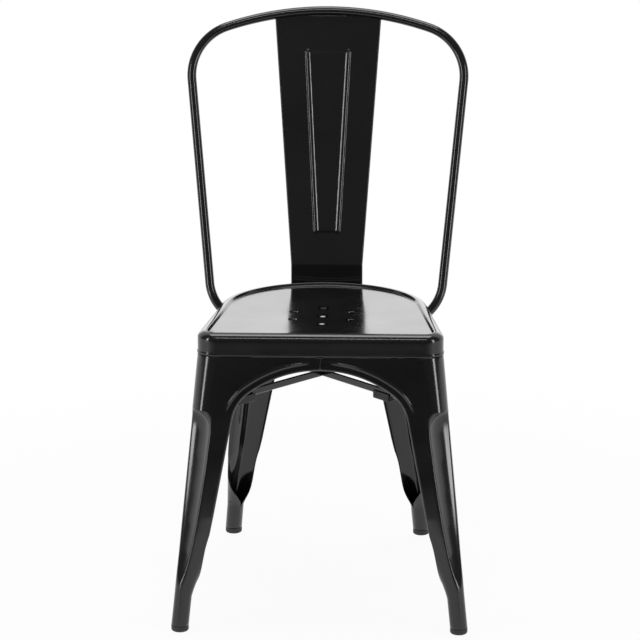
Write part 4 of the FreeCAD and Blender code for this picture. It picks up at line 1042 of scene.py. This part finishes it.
# %% Build one leg
LIP_DEPTH = 8.0
LIP_BEND = 2.6
BAND = 19.0
BEAD_AT = 12.5
BEAD_HALF = 2.5
BEAD_HEIGHT = 1.9
BAND_STEPS = 20
MIDDLE_STEPS = 18
FLANGE_IN = 1.6
FLANGE_UP = 9.0
LIP_ROWS = (LIP_DEPTH, 5.5, LIP_BEND + 0.6)
LIP_REST = 0.25
LIP_GROWS_Z = (104.0, 152.0)
BEAD_GROWS_Z = (HAUNCH_Z + 6.0, HAUNCH_Z + 30.0)
BEAD_END_ROWS = (16, 6)
UPRIGHT_ROWS = 12
SKIRT_SHORT = 1.2
STRETCH_Z = 230.0
RISE_SHARE = 0.55


def edge_normals(rows):
    """Directions on the sheet at right angles to an edge, away from the opening, upright at the crown."""
    ahead = np.gradient(rows, axis=0)
    ahead /= np.linalg.norm(ahead, axis=1, keepdims=True)
    side = -np.sign(rows[0, 0])
    out = np.column_stack([ahead[:, 1] * side, -ahead[:, 0] * side])
    share = smoothstep(len(rows) - UPRIGHT_ROWS, len(rows) - 1, np.arange(len(rows)))[:, None]
    out = out * (1 - share) + np.array([0.0, 1.0]) * share
    return out / np.linalg.norm(out, axis=1, keepdims=True)


def laid(sheet, flute, spot, out):
    """Points of the fluted sheet, moved out along the sheet's normal."""
    return flute.push(sheet.at(spot[:, 0], spot[:, 1])) + sheet.normal(spot[:, 0], spot[:, 1]) * out


def wing(sheet, flute, rows):
    """Lip, bend and band of one wing, as a grid of points and the inner line of its band."""
    normals = edge_normals(rows)
    grown = smoothstep(*LIP_GROWS_Z, rows[:, 1])[:, None]
    grid = []
    for full_depth in LIP_ROWS:
        depth = LIP_BEND + (full_depth - LIP_BEND) * grown
        grid.append(laid(sheet, flute, rows, -(LIP_REST + (depth - LIP_REST) * grown)))
    for angle in np.linspace(90.0, 0.0, 7):
        turn = math.radians(angle)
        shift = LIP_BEND * ((1 - math.sin(turn)) * grown + (1 - angle / 90.0) * (1 - grown))
        drop = LIP_BEND * (1 - math.cos(turn)) * grown
        grid.append(laid(sheet, flute, rows + normals * shift, -drop))
    ends = [len(rows) - short for short in BEAD_END_ROWS]
    fade = smoothstep(*BEAD_GROWS_Z, rows[:, 1]) * (1 - smoothstep(*ends, np.arange(len(rows))))
    for step_in in np.linspace(LIP_BEND, BAND, BAND_STEPS)[1:]:
        spot = rows + normals * step_in
        away = np.clip(abs(step_in - BEAD_AT) / BEAD_HALF, 0, 1)
        height = BEAD_HEIGHT * np.cos(away * math.pi / 2) ** 2
        grid.append(laid(sheet, flute, spot, (height * fade)[:, None]))
    return grid, spot


def middle_block(sheet, flute, line, corner_line):
    """Columns from the inner line of a band to the corner, stretched up to the skirt."""
    block = []
    for share in np.linspace(0.0, 1.0, MIDDLE_STEPS + 1)[1:]:
        spot = line * (1 - share) + corner_line * share
        short = np.interp(spot[-1, 0], sheet.top_run, sheet.top[:, 2]) - SKIRT_SHORT - spot[-1, 1]
        spot[:, 1] += short * smoothstep(STRETCH_Z, spot[-1, 1], spot[:, 1])
        block.append(flute.push(sheet.at(spot[:, 0], spot[:, 1])))
    return block


def skirt_rows(sheet, first_line, second_line):
    """The line under the skirt, the joggle behind it and the flange, one point above each middle point."""
    share = 1 - np.arange(MIDDLE_STEPS + 1) / MIDDLE_STEPS
    wanted = np.concatenate([first_line[-1, 0] * share, second_line[-1, 0] * share[-2::-1]])
    wanted[0], wanted[-1] = sheet.top_run[0], sheet.top_run[-1]
    line = np.stack([np.interp(wanted, sheet.top_run, sheet.top[:, axis]) for axis in range(3)], axis=1)
    inward = -sheet.normal(wanted, line[:, 2] - 2.0)
    inward[:, 2] = 0.0
    shelf = line + inward * FLANGE_IN
    return [line, shelf, shelf + (0.0, 0.0, FLANGE_UP)]


def make_leg(name, sheet, flute, edges, mirrored):
    first, first_line = wing(sheet, flute, edges[0])
    second, second_line = wing(sheet, flute, edges[1])
    count = len(edges[0])
    rise = sheet.top[CORNER, 2] - SKIRT_SHORT - edges[0][-1, 1]
    rise = rise * smoothstep(RISE_SHARE, 1.0, np.arange(count) / (count - 1))
    corner_line = np.column_stack([np.zeros(count), (edges[0][:, 1] + edges[1][:, 1]) / 2 + rise])
    grid = first + middle_block(sheet, flute, first_line, corner_line)
    grid += middle_block(sheet, flute, second_line, corner_line)[-2::-1] + second[::-1]
    points = np.array(grid).transpose(1, 0, 2)
    skirt = skirt_rows(sheet, first_line, second_line)
    flat = np.concatenate([points.reshape(-1, 3)] + skirt)
    width, skirt_width = len(grid), len(skirt[0])
    below, above = (count - 1) * width + len(first) - 1, count * width
    faces = grid_faces(count, width)
    for column in range(skirt_width - 1):
        faces.append((below + column, below + column + 1, above + column + 1, above + column))
    faces += grid_faces(len(skirt), skirt_width, start=above)
    if mirrored:
        flat = flat * (-1.0, 1.0, 1.0)
    if mirrored == (sheet.outward > 0):
        faces = [face[::-1] for face in faces]
    return thicken(mesh_piece(name, flat, faces, enamel))


for end, sheet, flute, edges in (
    ("front", front_sheet, front_flute, front_rows),
    ("rear", rear_sheet, rear_flute, rear_rows),
):
    for side, mirrored in (("right", False), ("left", True)):
        leg = make_leg(end + "_" + side + "_leg_sheet", sheet, flute, edges, mirrored)
        finish_piece(leg, "black_enamel", end + "_" + side + "_leg")

# %% [markdown]
# ## The cross brace
# Three folded angles cross under the seat: one runs through and the other two meet it. Each has an
# upright flange towards the front and a flat web at the bottom, with a round fold between them.

# %% Fold the brace angles
BRACE_LOW, BRACE_HIGH = (node_box("brace_bar")[index][2] for index in (0, 1))
BRACE_HALF_WIDTH = 10.0
BRACE_FOLD = 3.0
BRACE_ROWS = 24
BRACE_CROSS = np.array([-0.9, -24.3])
BRACE_ENDS = {
    "brace_bar": ((-130.9, 108.0), (162.0, -190.0)),
    "brace_half_front": ((-164.0, -187.9), tuple(BRACE_CROSS - 7.2)),
    "brace_half_rear": (tuple(BRACE_CROSS + 7.2), (131.0, 108.0)),
}


def angle_section():
    """(across, height) pairs from the top of the flange to the edge of the web."""
    low = BRACE_LOW + BRACE_FOLD
    section = [(-BRACE_HALF_WIDTH, level) for level in np.linspace(BRACE_HIGH, low, 5)]
    for angle in np.linspace(0.0, 90.0, 7)[1:]:
        turn = math.radians(angle)
        over = BRACE_FOLD * (1 - math.cos(turn)) - BRACE_HALF_WIDTH
        section.append((over, low - BRACE_FOLD * math.sin(turn)))
    return section + [(0.0, BRACE_LOW), (BRACE_HALF_WIDTH, BRACE_LOW)]


def angle_bar(node, start, end):
    start, end = np.array(start), np.array(end)
    ahead = (end - start) / np.hypot(*(end - start))
    across = np.array([-ahead[1], ahead[0]])
    across = across if across[1] > 0 else -across
    rows = []
    for share in np.linspace(0.0, 1.0, BRACE_ROWS):
        middle = start * (1 - share) + end * share
        rows += [(*(middle + across * over), level) for over, level in angle_section()]
    columns = len(angle_section())
    flip = np.cross(ahead, across) < 0
    faces = grid_faces(BRACE_ROWS, columns, flip=bool(flip))
    bar = thicken(mesh_piece(node + "_angle", rows, faces, enamel))
    finish_piece(bar, "black_enamel", node)


for node, (start, end) in BRACE_ENDS.items():
    angle_bar(node, start, end)

# %% [markdown]
# ## Studio
# The floor and the room behind it are plain white to the camera, and to every other ray the floor is
# pale paint, painted dark towards the front as painted shade. Near the feet the floor keeps part of its
# own shading, so the chair's soft shadow shows. Black gloss shows what it faces. In mirror rays the room
# is white behind the chair and dim in front of it, and the floor's front part is painted dark, a painted
# shade, so the front faces stay black and the seat shines. Soft boxes at the sides, behind and above
# draw the bright lines.

# %% Floor
FLOOR_HALF = 9.0
FLOOR_PAINTED_SHADE_Y = (-2.3, -1.3)
# The dark tone is painted shade: the floor's front is painted dark so the chair's front faces reflect black.
FLOOR_PAINT_AND_SHADE_TONES = ((0.04, 0.04, 0.04), (0.8, 0.8, 0.8))
FLOOR_WHITE = (0.94, 1.0)
FLOOR_WHITE_FROM = (0.35, 1.3)


def joined(nodes, links, operation, first, second):
    node = nodes.new("ShaderNodeMath")
    node.operation = operation
    links.new(first, node.inputs[0])
    links.new(second, node.inputs[1])
    return node.outputs[0]


def seen_white(nodes, links, mirror_share):
    """1 for camera and transmission rays, and the given share for mirror rays."""
    path = nodes.new("ShaderNodeLightPath").outputs
    mirrored = joined(nodes, links, "MULTIPLY", path["Is Glossy Ray"], mirror_share)
    seen = joined(nodes, links, "MAXIMUM", path["Is Camera Ray"], path["Is Transmission Ray"])
    return joined(nodes, links, "MAXIMUM", seen, mirrored)


def axis_y(nodes, links, vector):
    axes = nodes.new("ShaderNodeSeparateXYZ")
    links.new(vector, axes.inputs[0])
    return axes.outputs["Y"]


def floor_material(name):
    """Pale paint that turns white to the camera, fully so away from the feet, painted dark towards the front
    as painted shade.
    """
    material, nodes, links, paint, place = new_material(name, Roughness=0.85, Specular_IOR_Level=0.1)
    glow = nodes.new("ShaderNodeEmission")
    glow.inputs["Color"].default_value = (1.0, 1.0, 1.0, 1.0)
    glow.inputs["Strength"].default_value = 1.0
    length = nodes.new("ShaderNodeVectorMath")
    length.operation = "LENGTH"
    links.new(place.outputs["Object"], length.inputs[0])
    y = axis_y(nodes, links, place.outputs["Object"])
    # Painted shade: towards the front the floor's colour darkens and its white glow in mirror rays fades.
    front = spread(nodes, links, y, 0.0, 1.0, *FLOOR_PAINTED_SHADE_Y)
    links.new(tint(nodes, links, front, *FLOOR_PAINT_AND_SHADE_TONES), paint.inputs["Base Color"])
    share = spread(nodes, links, length.outputs["Value"], *FLOOR_WHITE, *FLOOR_WHITE_FROM, smooth=True)
    blend = nodes.new("ShaderNodeMixShader")
    links.new(joined(nodes, links, "MULTIPLY", share, seen_white(nodes, links, front)), blend.inputs["Fac"])
    links.new(paint.outputs["BSDF"], blend.inputs[1])
    links.new(glow.outputs["Emission"], blend.inputs[2])
    links.new(blend.outputs["Shader"], nodes["Material Output"].inputs["Surface"])
    return material


def stage_sheet(name, half, material):
    mesh = bpy.data.meshes.new(name)
    corners = [(-half, -half, 0.0), (half, -half, 0.0), (half, half, 0.0), (-half, half, 0.0)]
    mesh.from_pydata(corners, [], [(0, 1, 2, 3)])
    mesh.materials.append(material)
    sheet = bpy.data.objects.new(name, mesh)
    bpy.context.scene.collection.objects.link(sheet)
    return sheet


stage_sheet("studio_floor", FLOOR_HALF, floor_material("pale_floor"))
print("floor laid")

# %% Light
def soft_box(name, place, target, size, power):
    light = bpy.data.lights.new(name, "AREA")
    light.shape = "RECTANGLE"
    light.size, light.size_y = size
    light.energy = power
    box = bpy.data.objects.new(name, light)
    box.location = place
    box.rotation_euler = (Vector(target) - Vector(place)).to_track_quat("-Z", "Y").to_euler()
    box.visible_camera = False
    bpy.context.scene.collection.objects.link(box)


# Place, height looked at, size and watts of each soft box, in metres.
SOFT_BOXES = {
    "left_strip": ((-2.2, -1.5, 0.95), 0.6, (0.42, 1.8), 21),
    "right_strip": ((2.2, -1.5, 0.95), 0.6, (0.42, 1.8), 21),
    "top_box": ((0.0, 0.4, 2.9), 0.3, (2.2, 1.2), 40),
    "front_box": ((0.0, -1.9, 2.7), 0.4, (1.6, 0.22), 12),
    "back_box": ((0.0, 3.2, 1.1), 0.6, (4.2, 1.3), 18),
}
for name, (place, height, size, power) in SOFT_BOXES.items():
    soft_box(name, place, (0.0, 0.0, height), size, power)
print("soft boxes:", list(SOFT_BOXES))

# %% The room: white to the camera, white behind the chair in mirror rays, dim as a light
ROOM_FADE_Y = (0.1, 0.5)
ROOM_DIM = 0.15

world = bpy.data.worlds.new("studio")
bpy.context.scene.world = world
world.use_nodes = True
nodes, links = world.node_tree.nodes, world.node_tree.links
background = nodes["Background"]
background.inputs["Color"].default_value = (1.0, 1.0, 1.0, 1.0)
way = axis_y(nodes, links, nodes.new("ShaderNodeTexCoord").outputs["Generated"])
behind = spread(nodes, links, way, 0.0, 1.0, *ROOM_FADE_Y, smooth=True)
strength = spread(nodes, links, seen_white(nodes, links, behind), ROOM_DIM, 1.0, 0.0, 1.0)
links.new(strength, background.inputs["Strength"])
bpy.context.scene.view_settings.view_transform = "Standard"
print("room strength:", ROOM_DIM, "to 1")

# %% [markdown]
# ## Camera
# The photograph was taken from about five metres with a long lens, a little above the seat, so the
# seat shows as a shallow dish and the legs' lines hardly converge.

# %% Place the camera
VIEW_TURN = math.radians(1.67)
VIEW_PITCH = math.radians(16.33)
VIEW_FOCAL_PIXELS = 3453.0
FRAME_PIXELS = 640.0
VIEW_PLACE = (0.1457, -5.0169, 1.882)
SIDEWAYS_PIXELS = 3.5
SENSOR_WIDTH = 36.0

camera_data = bpy.data.cameras.new("camera")
camera_data.sensor_width = SENSOR_WIDTH
camera_data.lens = SENSOR_WIDTH * VIEW_FOCAL_PIXELS / FRAME_PIXELS
camera_data.shift_x = -SIDEWAYS_PIXELS / FRAME_PIXELS
camera_data.clip_end = 60.0
camera = bpy.data.objects.new("camera", camera_data)
camera.location = VIEW_PLACE
camera.rotation_euler = (math.pi / 2 - VIEW_PITCH, 0.0, VIEW_TURN)
bpy.context.scene.collection.objects.link(camera)
bpy.context.scene.camera = camera
print("lens:", round(camera_data.lens, 1), "mm")

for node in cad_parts:
    if node.startswith(("bumper", "foot_cap")):
        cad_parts[node].data.materials.clear()
        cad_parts[node].data.materials.append(rubber)
